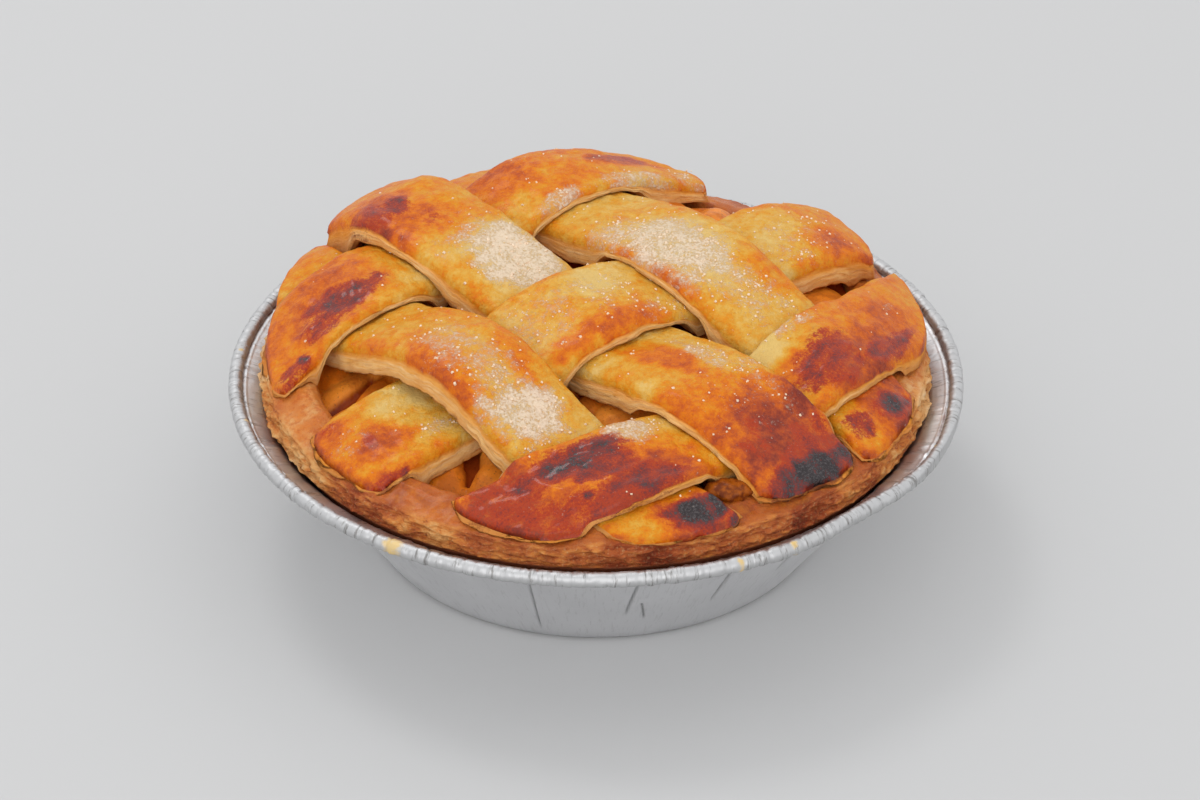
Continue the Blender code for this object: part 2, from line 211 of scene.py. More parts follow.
class Paint:
    """A material, whose colours and reliefs are written as Python expressions."""

    def __init__(self, name):
        self.material = bpy.data.materials.new(name)
        self.material.use_nodes = True
        self.tree = self.material.node_tree
        self.shader = self.tree.nodes["Principled BSDF"]

    def node(self, kind, settings, sockets, output=0):
        """One node by its type, its settings, and its sockets' numbers or links."""
        made = self.tree.nodes.new("ShaderNode" + kind)
        for name, value in settings.items():
            if name == "stops":
                band = made.color_ramp.elements
                while len(band) < len(value):
                    band.new(0.5)
                for element, (at, shade) in zip(band, value):
                    element.position = at
                    element.color = (*shade, 1.0)
            else:
                setattr(made, name, value)
        for name, value in sockets.items():
            if isinstance(value, Value):
                self.tree.links.new(value.socket, made.inputs[name])
            else:
                made.inputs[name].default_value = value
        return Value(self, made.outputs[output])

    def place(self, stretch=(1.0, 1.0, 1.0)):
        """Where a point of the surface is, in millimetres."""
        objects = self.node("TexCoord", {}, {}, "Object")
        scale = [share / MM for share in stretch]
        return self.node("VectorMath", {"operation": "MULTIPLY"}, {0: objects, 1: scale})

    def kept(self, name):
        """A number that the mesh keeps at each of its points."""
        return self.node("Attribute", {"attribute_name": name}, {}, "Fac")

    def kept_place(self, name, stretch):
        """A place that the mesh keeps at each of its points, laid along the piece."""
        vector = self.node("Attribute", {"attribute_name": name}, {}, "Vector")
        return self.node("VectorMath", {"operation": "MULTIPLY"}, {0: vector, 1: stretch})

    def noise(self, place, size, detail=3.0, rough=0.55):
        """Cloudy unevenness from 0 to 1, with clouds about one size across."""
        sockets = {"Vector": place, "Scale": 1.0 / size, "Detail": detail, "Roughness": rough}
        return self.node("TexNoise", {}, sockets, "Fac")

    def blend(self, share, below, above):
        """One colour turning into another as the share goes from 0 to 1."""
        sockets = {0: share}
        for name, colour in ((6, below), (7, above)):
            sockets[name] = colour if isinstance(colour, Value) else (*colour, 1.0)
        return self.node("Mix", {"data_type": "RGBA"}, sockets, 2)

    def over(self, colour, *layers):
        """A colour with others laid over it in turn: the share and the colour of each."""
        for share, above in layers:
            colour = self.blend(share, colour, above)
        return colour

    def ramp(self, share, stops):
        """A colour from a row of stops: each a place from 0 to 1 and a colour."""
        return self.node("ValToRGB", {"stops": stops}, {"Fac": share})

    def relief(self, height, depth):
        """The normal of a relief whose height from 0 to 1 stands for this many millimetres."""
        return self.node("Bump", {}, {"Height": height, "Distance": depth * MM, "Strength": 1.0})

    def finish(self, **parts):
        """Sets the shader's sockets: Base_Color stands for Base Color, and so on."""
        for name, value in parts.items():
            socket = self.shader.inputs[name.replace("_", " ")]
            if isinstance(value, Value):
                self.tree.links.new(value.socket, socket)
            else:
                socket.default_value = value


def show(name, points, faces, paint, replaced=(), values=None, vectors=None):
    """Makes a mesh from points in millimetres and gives it its finish and its body."""
    mesh = bpy.data.meshes.new(name)
    mesh.from_pydata((points * MM).tolist(), [], faces.tolist())
    for key, numbers in (values or {}).items():
        mesh.attributes.new(key, "FLOAT", "POINT").data.foreach_set("value", numbers)
    for key, triples in (vectors or {}).items():
        mesh.attributes.new(key, "FLOAT_VECTOR", "POINT").data.foreach_set("vector", triples.ravel())
    mesh.materials.append(paint.material)
    mesh.shade_smooth()
    piece = bpy.data.objects.new(name, mesh)
    scene.collection.objects.link(piece)
    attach(piece, "root")
    for node in replaced:
        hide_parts(node)
    return piece


def ring_faces(rings, steps):
    """The faces between rings of points that all have the same number of steps round."""
    ring, step = np.meshgrid(np.arange(rings - 1), np.arange(steps), indexing="ij")
    after = (step + 1) % steps
    near, far = ring * steps, (ring + 1) * steps
    return np.stack([far + step, far + after, near + after, near + step], -1).reshape(-1, 4)


def full_circle(steps):
    """Bearings in even steps all the way round."""
    return np.arange(steps) * 2.0 * pi / steps


def around_axis(radius, bearing, height):
    """Points by their distance from the pie's axis, their bearing and their height."""
    return np.stack([radius * np.cos(bearing), radius * np.sin(bearing), height], -1).reshape(-1, 3)


def off_bearing(bearing, at):
    """How many degrees a bearing lies past another, from -180 to 180."""
    return (bearing - at + 180.0) % 360.0 - 180.0


def resampled(profile, spacing):
    """The profile's line cut into short even pieces, keeping its corners."""
    line = [profile[0]]
    for start, end in zip(profile, profile[1:]):
        pieces = max(1, round(float(np.hypot(end[0] - start[0], end[1] - start[1])) / spacing))
        for cut in range(1, pieces + 1):
            share = cut / pieces
            line.append((start[0] + (end[0] - start[0]) * share, start[1] + (end[1] - start[1]) * share))
    return np.array(line)


TIN_BASE_RADIUS = 40.8
TIN_FILLET = 1.6
TIN_WALL_TOP = 57.7
FOIL_MIDDLE = 0.2
FLANGE_HEIGHT = 27.0
FLANGE_RADIUS = 60.5
FLANGE_LIFT = 0.9
LIP_RADIUS = 63.45
LIP_CURL = 1.25
LIP_HEIGHT = 28.45
LIP_FROM = 205.0
LIP_TURN = 325.0
LIP_CUTS = 16
# Each knock in the lip: its bearing, how far it pushed the lip out, and half its width in degrees
LIP_KNOCKS = ((336.0, 0.8, 9.0), (313.0, -1.1, 7.0), (118.0, -0.4, 12.0))
TIN_STEPS = 1440
BASE_CELL = 0.8
WALL_CELL = 0.75
FLANGE_CELL = 0.3
PLEATS = 330
PLEAT_WIDTHS = (0.25, 0.8)
PLEAT_DEPTH = 0.10
LIP_NOTCHES = 760
NOTCH_WIDTHS = (0.12, 0.28)
NOTCH_DEPTH = 0.17
CRINKLE = 0.09
FOLD_DEPTH = 0.55
FOLD_WIDTH = 0.24
# Half the width, in degrees, of the line of painted shade along each fold
FOLD_SHADE_WIDTH = 0.2
RIDGE_HEIGHT = 0.22
RIDGE_OFFSET = 0.6
RIDGE_WIDTH = 0.5
LOWEST = 0.02
# Each pressed fold in the wall: its bearing, its lean, and the heights that it runs between
FOLDS = (
    (258.6, -1.3, 2.0, 26.0), (277.8, -1.8, 9.0, 26.0), (278.9, 1.4, 7.5, 13.5), (295.0, -0.8, 9.0, 26.0),
    (309.6, -1.0, 12.0, 26.0), (232.0, 0.9, 14.0, 26.0), (20.0, 1.0, 4.0, 26.0), (74.0, -1.2, 9.0, 26.0),
    (131.0, 1.2, 3.0, 26.0), (176.0, 0.8, 11.0, 26.0),
)

rng = np.random.default_rng(11)
foot = (TIN_BASE_RADIUS, TIN_FILLET)
wall_top = (TIN_WALL_TOP - 0.3, FLANGE_HEIGHT - 0.5)
base_line = [(TIN_BASE_RADIUS - TIN_FILLET, FOIL_MIDDLE), (TIN_BASE_RADIUS - 0.5 * TIN_FILLET, 0.45), foot]
flange_line = [wall_top, (TIN_WALL_TOP + 0.3, FLANGE_HEIGHT)]
for out, up in ((-0.2, 0.0), (0.1, 0.3)):
    flange_line.append((FLANGE_RADIUS + out, FLANGE_HEIGHT + FLANGE_LIFT + up))
lip_line = []
for cut in range(LIP_CUTS + 1):
    turn = radians(LIP_FROM - LIP_TURN * cut / LIP_CUTS)
    lip_line.append((LIP_RADIUS - LIP_CURL + LIP_CURL * cos(turn), LIP_HEIGHT + LIP_CURL * sin(turn)))
tin_line = np.concatenate([
    [(0.0, FOIL_MIDDLE)],
    resampled(base_line, BASE_CELL),
    resampled([foot, wall_top], WALL_CELL)[1:],
    resampled(flange_line, FLANGE_CELL)[1:],
    lip_line,
])
bearings = full_circle(TIN_STEPS)
radius, bearing = np.meshgrid(tin_line[:, 0], bearings, indexing="ij")
height = np.repeat(tin_line[:, 1:], TIN_STEPS, axis=1)
degrees_round = np.degrees(bearing)
radius_line = tin_line[:, 0][:, None]
height_line = tin_line[:, 1][:, None]


def creases(places, sizes, widths):
    """Narrow dents round the tin: the bearing, the size and the width in degrees of each."""
    total = np.zeros(TIN_STEPS)
    for at, size, width in zip(places, sizes, widths):
        total += size * bell(off_bearing(np.degrees(bearings), at) / width)
    return total


pleat = creases(
    rng.uniform(0, 360, PLEATS), rng.normal(0.0, 1.0, PLEATS), rng.uniform(*PLEAT_WIDTHS, PLEATS)
)
notch = -creases(
    rng.uniform(0, 360, LIP_NOTCHES), rng.random(LIP_NOTCHES) ** 2, rng.uniform(*NOTCH_WIDTHS, LIP_NOTCHES)
)
on_flange = soft_step((height_line - 22.0) / 5.0) * (radius_line < FLANGE_RADIUS + 0.2)
on_lip = soft_step((radius_line - FLANGE_RADIUS + 0.1) / 0.6)
on_wall = soft_step((height_line - 1.0) / 3.0) * (1.0 - soft_step((height_line - 24.0) / 3.0))
on_brim = soft_step((radius_line - TIN_WALL_TOP - 1.0) / 3.0)
curl_out = radius_line - (LIP_RADIUS - LIP_CURL)
curl_up = height_line - LIP_HEIGHT
curl_size = np.maximum(np.hypot(curl_out, curl_up), 0.1)
wrinkle = NOTCH_DEPTH * notch[None, :]
wrinkle = wrinkle + CRINKLE * ripple(degrees_round * 0.55, height_line * 1.2, radius_line, 1.0)
wrinkle = wrinkle + CRINKLE * ripple(degrees_round * 2.2, height_line * 1.6, radius_line * 1.6, 1.0)
pleated = PLEAT_DEPTH * pleat[None, :] + 0.03 * ripple(degrees_round * 3.0, radius_line, 0.0, 1.0)
height = height + on_flange * pleated
radius = radius + on_lip * wrinkle * curl_out / curl_size
height = height + on_lip * wrinkle * curl_up / curl_size
swelling = 0.22 * ripple(degrees_round / 14.0, height_line / 16.0, 5.0, 1.0)
swelling = swelling + 0.05 * ripple(degrees_round / 3.0, height_line / 5.0, 9.0, 1.0)
radius = radius + on_wall * swelling
# Each fold also gets a thin line of painted shade, kept as the mesh's fold value
fold_shade = np.zeros(radius.shape)
for at, lean, low, high in FOLDS:
    along = (height_line - low) / (high - low)
    away = off_bearing(degrees_round - at, lean * (1.0 - along))
    inside = soft_step(along * 6.0) * soft_step((1.06 - along) * 12.0)
    ridge = RIDGE_HEIGHT * bell((away - RIDGE_OFFSET) / RIDGE_WIDTH)
    radius = radius + inside * (-FOLD_DEPTH * bell(away / FOLD_WIDTH) + ridge)
    fold_shade = np.maximum(fold_shade, inside * bell(away / FOLD_SHADE_WIDTH))
for at, reach, half in LIP_KNOCKS:
    away = off_bearing(degrees_round, at)
    radius = radius + on_brim * reach * 2.0 ** (-((away / half) ** 2))
radius = np.minimum(radius, LIP_RADIUS)
tin_points = around_axis(radius, bearing, np.maximum(height, LOWEST))

foil = Paint("pressed_foil")
spot = foil.place()
creased = foil.noise(foil.kept_place("laid", (1.0, 0.16, 0.16)), 0.7, 4.0, 0.74)
cloudy = foil.noise(spot, 9.0, 3.0)
dented = foil.noise(spot, 1.6, 3.0)
edge = foil.kept("edge")
stain = (foil.kept("stain") * (0.35 + 1.3 * foil.noise(spot, 1.6, 3.0))).step(0.3, 0.9)
glaze = (foil.kept("glaze") + 1.1 * (foil.noise(spot, 0.9, 3.0) - 0.5)).step(0.4, 1.0)
foil.finish(
    Base_Color=foil.over(
        foil.blend(cloudy, (0.72, 0.72, 0.73), (0.84, 0.84, 0.85)),
        # Painted shade: the lip is darkened and thin dark lines follow the foil's creases, standing for the
        # shade in its fine wrinkles
        (edge.step(0.6, 0.9) * 0.6, (0.42, 0.42, 0.42)),
        (creased.step(0.53, 0.66) * (0.15 + 0.75 * edge), (0.26, 0.25, 0.24)),
        # Painted shade along the wall's pressed folds
        (foil.kept("fold") * 0.8, (0.16, 0.16, 0.16)),
        (stain * 0.8, (0.20, 0.07, 0.035)),
        (glaze * 0.8, (0.74, 0.50, 0.15)),
    ),
    Metallic=1.0 - 0.75 * glaze - 0.45 * stain,
    Roughness=0.30 + 0.16 * cloudy + 0.12 * edge,
    Normal=foil.relief(creased * (0.12 + 1.3 * edge) + dented * 0.45, 0.08),
)
# Drops of egg wash and juice that baked onto the lip: bearing, distance from the axis, and size
DROPS = (
    (239.0, 62.6, 2.4), (197.0, 61.5, 0.8), (291.5, 62.8, 0.9), (176.0, 62.0, 0.7), (300.5, 62.4, 0.9),
    (336.0, 61.8, 0.8), (88.0, 62.0, 1.2),
)
DROPS_ABOVE = 27.5
# Juice also crept up between the crust and the wall, and into the seam where the lip is rolled
SMEAR_INSIDE = 58.4
SEAM_RADIUS = 60.9
SEAM_WIDTH = 0.26
STAIN_HEIGHTS = (26.0, 28.6)
tin_x, tin_y, tin_z = tin_points.T
glaze_values = np.zeros(len(tin_points))
for at, out, size in DROPS:
    apart = np.hypot(tin_x - out * cos(radians(at)), tin_y - out * sin(radians(at)))
    glaze_values = np.maximum(glaze_values, (tin_z > DROPS_ABOVE) * np.clip(1.3 - apart / size, 0.0, 1.0))
flat_radius = np.hypot(tin_x, tin_y)
round_stain = 0.55 + 0.45 * np.sin(np.arctan2(tin_y, tin_x) * 2.0 + 2.6)
stain_values = 0.15 * np.clip((SMEAR_INSIDE - flat_radius) / 0.7, 0.0, 1.0) * (0.5 + 0.5 * round_stain)
stain_values += 0.95 * bell((flat_radius - SEAM_RADIUS) / SEAM_WIDTH) * (tin_z < STAIN_HEIGHTS[1])
stain_values *= tin_z > STAIN_HEIGHTS[0]
edge_values = np.repeat(np.maximum(on_lip, on_flange * 0.55), TIN_STEPS, axis=1).ravel()
tin_laid = np.stack([degrees_round.ravel() * 1.06, flat_radius, tin_z], -1)
tin_values = {"glaze": glaze_values, "stain": stain_values, "edge": edge_values, "fold": fold_shade.ravel()}
tin_faces = ring_faces(len(tin_line), TIN_STEPS)
show("foil_tin", tin_points, tin_faces, foil, ["tin"], tin_values, {"laid": tin_laid})


# The bottom crust: flaky pastry that lines the tin. Only its rim shows, browned and broken into
# thin leaves at its outer edge. A dark band is painted at its foot, partly burnt juice and partly
# painted shade for the gap between it and the foil.
RIM_INNER = 48.6
RIM_CREST = 50.2
RIM_SHOULDER = 56.6
RIM_OUTER = 58.0
RIM_HEIGHT = 32.2
RIM_TILT = 1.2
RIM_RISE = 1.8
RIM_RISE_WIDTH = 6.2
RIM_WAVE = 0.45
RIM_STEPS = 1100
RIM_CELL = 0.24
LEAF_DEPTH = 0.75
LEAF_TRIM = 0.5
LUMPS = ((0.5, 6.0), (0.28, 2.6), (0.10, 0.9))
# Where round the rim, in degrees, the oven left it pale at both sides and dark at the front
PALE_LEFT = 188.0
PALE_RIGHT = 350.0
PALE_WIDTH = 30.0
DARK_FRONT = 275.0
DARK_WIDTH = 32.0


def wall_radius(height):
    """How wide the tin's wall stands at a height."""
    return TIN_BASE_RADIUS + (TIN_WALL_TOP - TIN_BASE_RADIUS) * height / FLANGE_HEIGHT


def rim_top(angle):
    """The height of the rim's outer shoulder, which waves and stands higher at the back."""
    wave = RIM_WAVE * ripple(5.0 * np.cos(angle), 5.0 * np.sin(angle), 6.7, 1.0)
    return RIM_HEIGHT + RIM_TILT * np.sin(angle) + wave


def rim_surface(radius, angle):
    """The top of the rim, which climbs inwards from its outer edge."""
    inward = np.clip((RIM_SHOULDER - radius) / RIM_RISE_WIDTH, 0.0, 1.0)
    return rim_top(angle) + RIM_RISE * inward * (2.0 - inward)


rim_crest = RIM_HEIGHT + RIM_RISE
rim_line = [(44.0, 22.0), (RIM_INNER - 0.2, 25.0), (RIM_INNER, rim_crest - 1.8)]
rim_line += [(RIM_INNER + 0.6, rim_crest - 0.6), (RIM_CREST, rim_crest), (52.0, rim_crest - 0.15)]
rim_line += [(54.0, RIM_HEIGHT + 0.85), (RIM_SHOULDER, RIM_HEIGHT), (RIM_OUTER - 0.6, RIM_HEIGHT - 0.9)]
rim_line += [(RIM_OUTER - 0.1, RIM_HEIGHT - 2.0), (RIM_OUTER, RIM_HEIGHT - 3.4)]
rim_line += [(RIM_OUTER - 0.3, RIM_HEIGHT - 4.4), (wall_radius(26.5) - 0.8, 26.3)]
rim_line += [(wall_radius(20.0) - 0.8, 20.0)]
rim_line = resampled(rim_line, RIM_CELL)
ring_radius, ring_bearing = np.meshgrid(rim_line[:, 0], full_circle(RIM_STEPS), indexing="ij")
ring_height = np.repeat(rim_line[:, 1:], RIM_STEPS, axis=1)
flat_x = ring_radius * np.cos(ring_bearing)
flat_y = ring_radius * np.sin(ring_bearing)
raised = soft_step((ring_height - 26.8) / 3.0)
rim_z = ring_height + raised * (rim_top(ring_bearing) - RIM_HEIGHT)
edge_share = soft_step((ring_radius - RIM_SHOULDER) / 1.0) * soft_step((rim_z - 26.5) / 1.5)
leaves = ripple(flat_x, flat_y, rim_z * 3.4, 2.6) + 0.6 * ripple(flat_x, flat_y, rim_z * 3.0, 0.9)
leaves = leaves + 0.7 * ripple(flat_x / 2.0, flat_y / 2.0, rim_z * 1.8, 2.0)
lumps = ripples(flat_x, flat_y, rim_z, LUMPS)
out = ring_radius + edge_share * (LEAF_DEPTH * leaves - LEAF_TRIM)
inside_wall = wall_radius(np.minimum(rim_z, FLANGE_HEIGHT)) - 0.5
out = np.where(rim_z < FLANGE_HEIGHT + 0.3, np.minimum(out, inside_wall), out)
rim_z = rim_z + raised * (lumps - 0.10) + edge_share * 0.12 * leaves
rim_points = around_axis(out, ring_bearing, rim_z)
# The leaves' broken edges are palest, the hollows between them are darker, partly browned by the
# oven and partly painted shade, and the top was washed with egg where the strips left it bare.
rim_angle = np.degrees(ring_bearing.ravel()) % 360.0
pale_sides = bell((rim_angle - PALE_LEFT) / PALE_WIDTH)
pale_sides = pale_sides + 0.7 * bell((rim_angle - PALE_RIGHT) / PALE_WIDTH)
dark_front = bell((rim_angle - DARK_FRONT) / DARK_WIDTH)
rim_bake = 0.50 - 0.16 * pale_sides + 0.14 * dark_front
rim_bake = rim_bake + 0.26 * ripple(flat_x, flat_y, 1.0, 9.0).ravel()
rim_bake = rim_bake + 0.20 * ripple(flat_x, flat_y, 2.0, 3.0).ravel()
# The crust's foot, where it meets the foil, is painted dark: burnt juice, and painted shade for the gap
rim_juice_and_shade = soft_step((FLANGE_HEIGHT + 0.5 - rim_points[:, 2]) / 0.7)
rim_washed = soft_step((RIM_SHOULDER + 0.4 - np.hypot(rim_points[:, 0], rim_points[:, 1])) / 1.5)
crust = Paint("baked_crust")
spot = crust.place()
washed = crust.kept("washed")
layers = crust.noise(crust.place((0.42, 0.42, 2.1)), 0.9, 5.0, 0.65)
mottle = crust.noise(spot, 1.8, 4.0, 0.6)
crumb = crust.noise(spot, 0.45, 5.0, 0.7)
# Browner where the layers' relief is low and where a leaf is set back: partly browning, partly painted
# shade in the hollows
bake = crust.kept("bake") + 0.5 * (mottle - 0.5) + (1.0 - washed) * 0.9 * (0.5 - layers)
bake = bake - 0.25 * (crust.kept("leaf") - 0.5)
crust_colour = crust.ramp((bake + 0.1 * washed).clamped(), (
    (0.0, (0.78, 0.52, 0.28)),
    (0.25, (0.72, 0.37, 0.13)),
    (0.45, (0.62, 0.215, 0.048)),
    (0.62, (0.47, 0.125, 0.034)),
    (0.8, (0.31, 0.058, 0.018)),
    (1.0, (0.16, 0.026, 0.012)),
))
browned = crust.noise(spot, 1.1, 5.0, 0.7).step(0.48, 0.64) * washed
crevice_shade = (layers * 0.7 + crumb * 0.3).step(0.45, 0.33) * (1.0 - 0.8 * washed)
crust.finish(
    Base_Color=crust.over(
        crust_colour,
        (crumb.step(0.5, 0.72) * 0.4 * (1.0 - washed), (0.74, 0.48, 0.22)),
        (washed * mottle.step(0.3, 0.7) * 0.6, (0.70, 0.205, 0.018)),
        (browned * 0.6, (0.50, 0.10, 0.010)),
        # Painted shade in the crevices between the leaves, where the relief is lowest
        (crevice_shade * 0.8, (0.20, 0.05, 0.018)),
        # Painted shade and burnt juice at the crust's foot
        ((crust.kept("low") * (0.5 + mottle)).step(0.35, 0.8), (0.33, 0.10, 0.045)),
    ),
    Roughness=0.62 - 0.2 * washed,
    Coat_Weight=washed * 0.2,
    Coat_Roughness=0.2,
    Normal=crust.relief(crumb * 0.45 + layers * 0.75 * (1.0 - washed * 0.6) + mottle * 0.3, 0.6),
    Specular_IOR_Level=0.12,
)
rim_values = {"bake": rim_bake, "leaf": (0.5 + 0.3 * leaves).ravel(), "low": rim_juice_and_shade, "washed": rim_washed}
rim_faces = ring_faces(len(rim_line), RIM_STEPS)
show("crust_rim", rim_points, rim_faces, crust, ["bottom_crust"], rim_values)


# The filling: pieces of cooked apple in thick glossy juice with cinnamon. It shows in the
# gaps of the lattice as soft lumps with dark hollows between them.
LEVEL_MIDDLE = 45.2
LEVEL_EDGE = 34.0
LEVEL_RADIUS = 57.0
LEVEL_POWER = 3.9
LEVEL_RISE_RIGHT = 1.0
LEVEL_RISE_BACK = 5.5
FILLING_RADIUS = 48.3
FILLING_DEPTH = 7.6
FILLING_WAVE = 0.7
CHUNKS = 150
CHUNK_REACH = 50.0
CHUNK_HALF_LENGTHS = (4.5, 8.5)
CHUNK_HALF_WIDTHS = (2.6, 4.5)
CHUNK_SQUARENESS = 2.6
CHUNK_SWELLS = (1.6, 2.6)
CHUNK_SINKS = (1.4, 2.4)
CHUNK_HIGHEST = 0.9
JUICE_DEPTH = 2.2
HEAP_HALF = 49.0
HEAP_CELL = 0.45


def level(x, y):
    """The height that the strips' tops weave about: a dome that stands higher at the back."""
    reach = np.minimum(np.hypot(x, y) / LEVEL_RADIUS, 1.15)
    dome = LEVEL_MIDDLE - (LEVEL_MIDDLE - LEVEL_EDGE) * reach**LEVEL_POWER
    return dome + LEVEL_RISE_RIGHT * x / LEVEL_RADIUS + LEVEL_RISE_BACK * y / LEVEL_RADIUS


def filling_top(x, y):
    """The heaped filling's height, without its single pieces of apple."""
    return level(x, y) - FILLING_DEPTH + FILLING_WAVE * ripple(x, y, 0.0, 7.0)


rng = np.random.default_rng(5)
grid = np.arange(-HEAP_HALF, HEAP_HALF + 0.01, HEAP_CELL)
heap_x, heap_y = (v.ravel() for v in np.meshgrid(grid, grid, indexing="ij"))
reach = np.hypot(heap_x, heap_y)
pull = np.minimum(1.0, FILLING_RADIUS / np.maximum(reach, 1.0))
heap_x = heap_x * pull
heap_y = heap_y * pull
lump = np.full(heap_x.shape, -JUICE_DEPTH)
tone = np.zeros(heap_x.shape)
for _ in range(CHUNKS):
    at = np.array((rng.uniform(-CHUNK_REACH, CHUNK_REACH), rng.uniform(-CHUNK_REACH, CHUNK_REACH)))
    turn = rng.uniform(0, pi)
    half = (rng.uniform(*CHUNK_HALF_LENGTHS), rng.uniform(*CHUNK_HALF_WIDTHS))
    along = ((heap_x - at[0]) * cos(turn) + (heap_y - at[1]) * sin(turn)) / half[0]
    across = ((heap_y - at[1]) * cos(turn) - (heap_x - at[0]) * sin(turn)) / half[1]
    round_off = 1.0 - (np.abs(along) ** CHUNK_SQUARENESS + np.abs(across) ** CHUNK_SQUARENESS)
    swell = np.sqrt(np.maximum(round_off, 0.0)) * rng.uniform(*CHUNK_SWELLS) - rng.uniform(*CHUNK_SINKS)
    rise = np.where(round_off > 0, swell, -3.0)
    tone = np.where(rise > lump, rng.random(), tone)
    lump = np.maximum(lump, rise)
heap_z = filling_top(heap_x, heap_y) + np.clip(lump, -JUICE_DEPTH, CHUNK_HIGHEST)
heap_z = heap_z + 0.12 * ripple(heap_x, heap_y, 3.0, 1.3)
heap_points = np.stack([heap_x, heap_y, heap_z], -1)
row, column = np.meshgrid(np.arange(len(grid) - 1), np.arange(len(grid) - 1), indexing="ij")
corner = row * len(grid) + column
heap_faces = np.stack([corner, corner + len(grid), corner + len(grid) + 1, corner + 1], -1).reshape(-1, 4)
apple = Paint("apple_and_juice")
spot = apple.place()
hollow = apple.kept("hollow")
fruit = apple.over(
    apple.blend(apple.kept("tone"), (0.76, 0.19, 0.008), (0.93, 0.37, 0.05)),
    (apple.noise(spot, 3.5).step(0.4, 0.62) * 0.6, (0.46, 0.11, 0.012)),
    (apple.noise(spot, 0.45, 2.0).step(0.61, 0.69) * 0.6, (0.34, 0.10, 0.02)),
)
juice = apple.blend(apple.noise(spot, 3.0), (0.42, 0.075, 0.006), (0.16, 0.012, 0.003))
apple.finish(
    Base_Color=apple.blend(hollow.step(0.35, 0.9), fruit, juice),
    Roughness=0.32 + 0.25 * apple.noise(spot, 1.5),
    Coat_Weight=0.11,
    Coat_Roughness=0.08,
    Specular_IOR_Level=0.08,
    Normal=apple.relief(apple.noise(spot, 0.9, 4.0), 0.25),
)
heap_values = {"hollow": np.clip(-lump / JUICE_DEPTH + 0.1, 0.0, 1.0), "tone": tone}
show("apple_filling", heap_points, heap_faces, apple, ["filling"], heap_values)


# The lattice: six strips cut from rolled dough with a straight cutter and woven over one
# another, washed with egg and sugared. The oven browned what stands high and scorched a few
# places. Their cut sides stayed pale, with painted shade darkening them towards their foot, and
# their ends are pressed onto the rim of the case.
STRIP_THICKNESS = 5.0
END_SETTLE = 3.5
END_SETTLE_FROM = 46.0
END_SETTLE_WIDTH = 5.0
STRIP_THINNEST = 2.4
STRIP_PRESSED = 1.3
ONTO_RIM_BLEND = 5.0
CORNER_TRIM = 1.4
CORNER_POWER = 5
PRESSED_FROM = 49.0
PRESSED_WIDTH = 6.0
END_RISE_FROM = 28.0
END_RISE_WIDTH = 20.0
WEAVE_HEIGHT = 2.6
WEAVE_RUN_OUT = 26.0
CROWN = 1.0
CROWN_POWER = 4.0
SIDE_FLARES = (0.0, 0.3, 0.4, 0.5)
BOW_SPAN = 50.0
WOBBLE = 0.35
STRIP_GAP = 0.12
BED_CLIMB_WIDTH = 4.0
BED_CLIMB_HEIGHT = 7.0
LIFT_MARGIN = 1.0
DRAPE_WIDTH = 4.5
DRAPE_DROP = 6.5
EDGE_ROUND = 1.2
PUFF_DEPTH = 0.35
PUFFS = ((0.30, 6.5), (0.18, 2.8), (0.08, 1.0))
PATCH_EDGE = ((0.30, 4.0), (0.16, 1.3))
CUT_EDGE = ((0.35, 4.0), (0.16, 1.3))
HIGHEST = 48.95
SEARCH_HEIGHTS = (51.0, 27.0, -0.1)
CROSSING_ROUNDS = 12
END_BEYOND = 70.0
END_HALVINGS = 26
TORN_DEPTH = 0.16
LENGTH_CELLS = 190
WIDTH_CELLS = 44
DEPTH_CELLS = 11


def bed(x, y):
    """What a strip lies on: the filling, and outside it the rim of the case."""
    radius = np.hypot(x, y)
    onto_rim = soft_step(1.0 - (RIM_CREST - radius) / BED_CLIMB_WIDTH)
    rim = rim_surface(radius, np.arctan2(y, x)) - (1.0 - onto_rim) * BED_CLIMB_HEIGHT
    return np.where(onto_rim >= 1.0, rim, np.maximum(rim, filling_top(x, y)))


def soft_max(a, b, blend=1.2):
    """The larger of two heights, rounded where they meet."""
    overlap = np.maximum(blend - np.abs(a - b), 0.0) / blend
    return np.maximum(a, b) + overlap * overlap * blend / 4.0


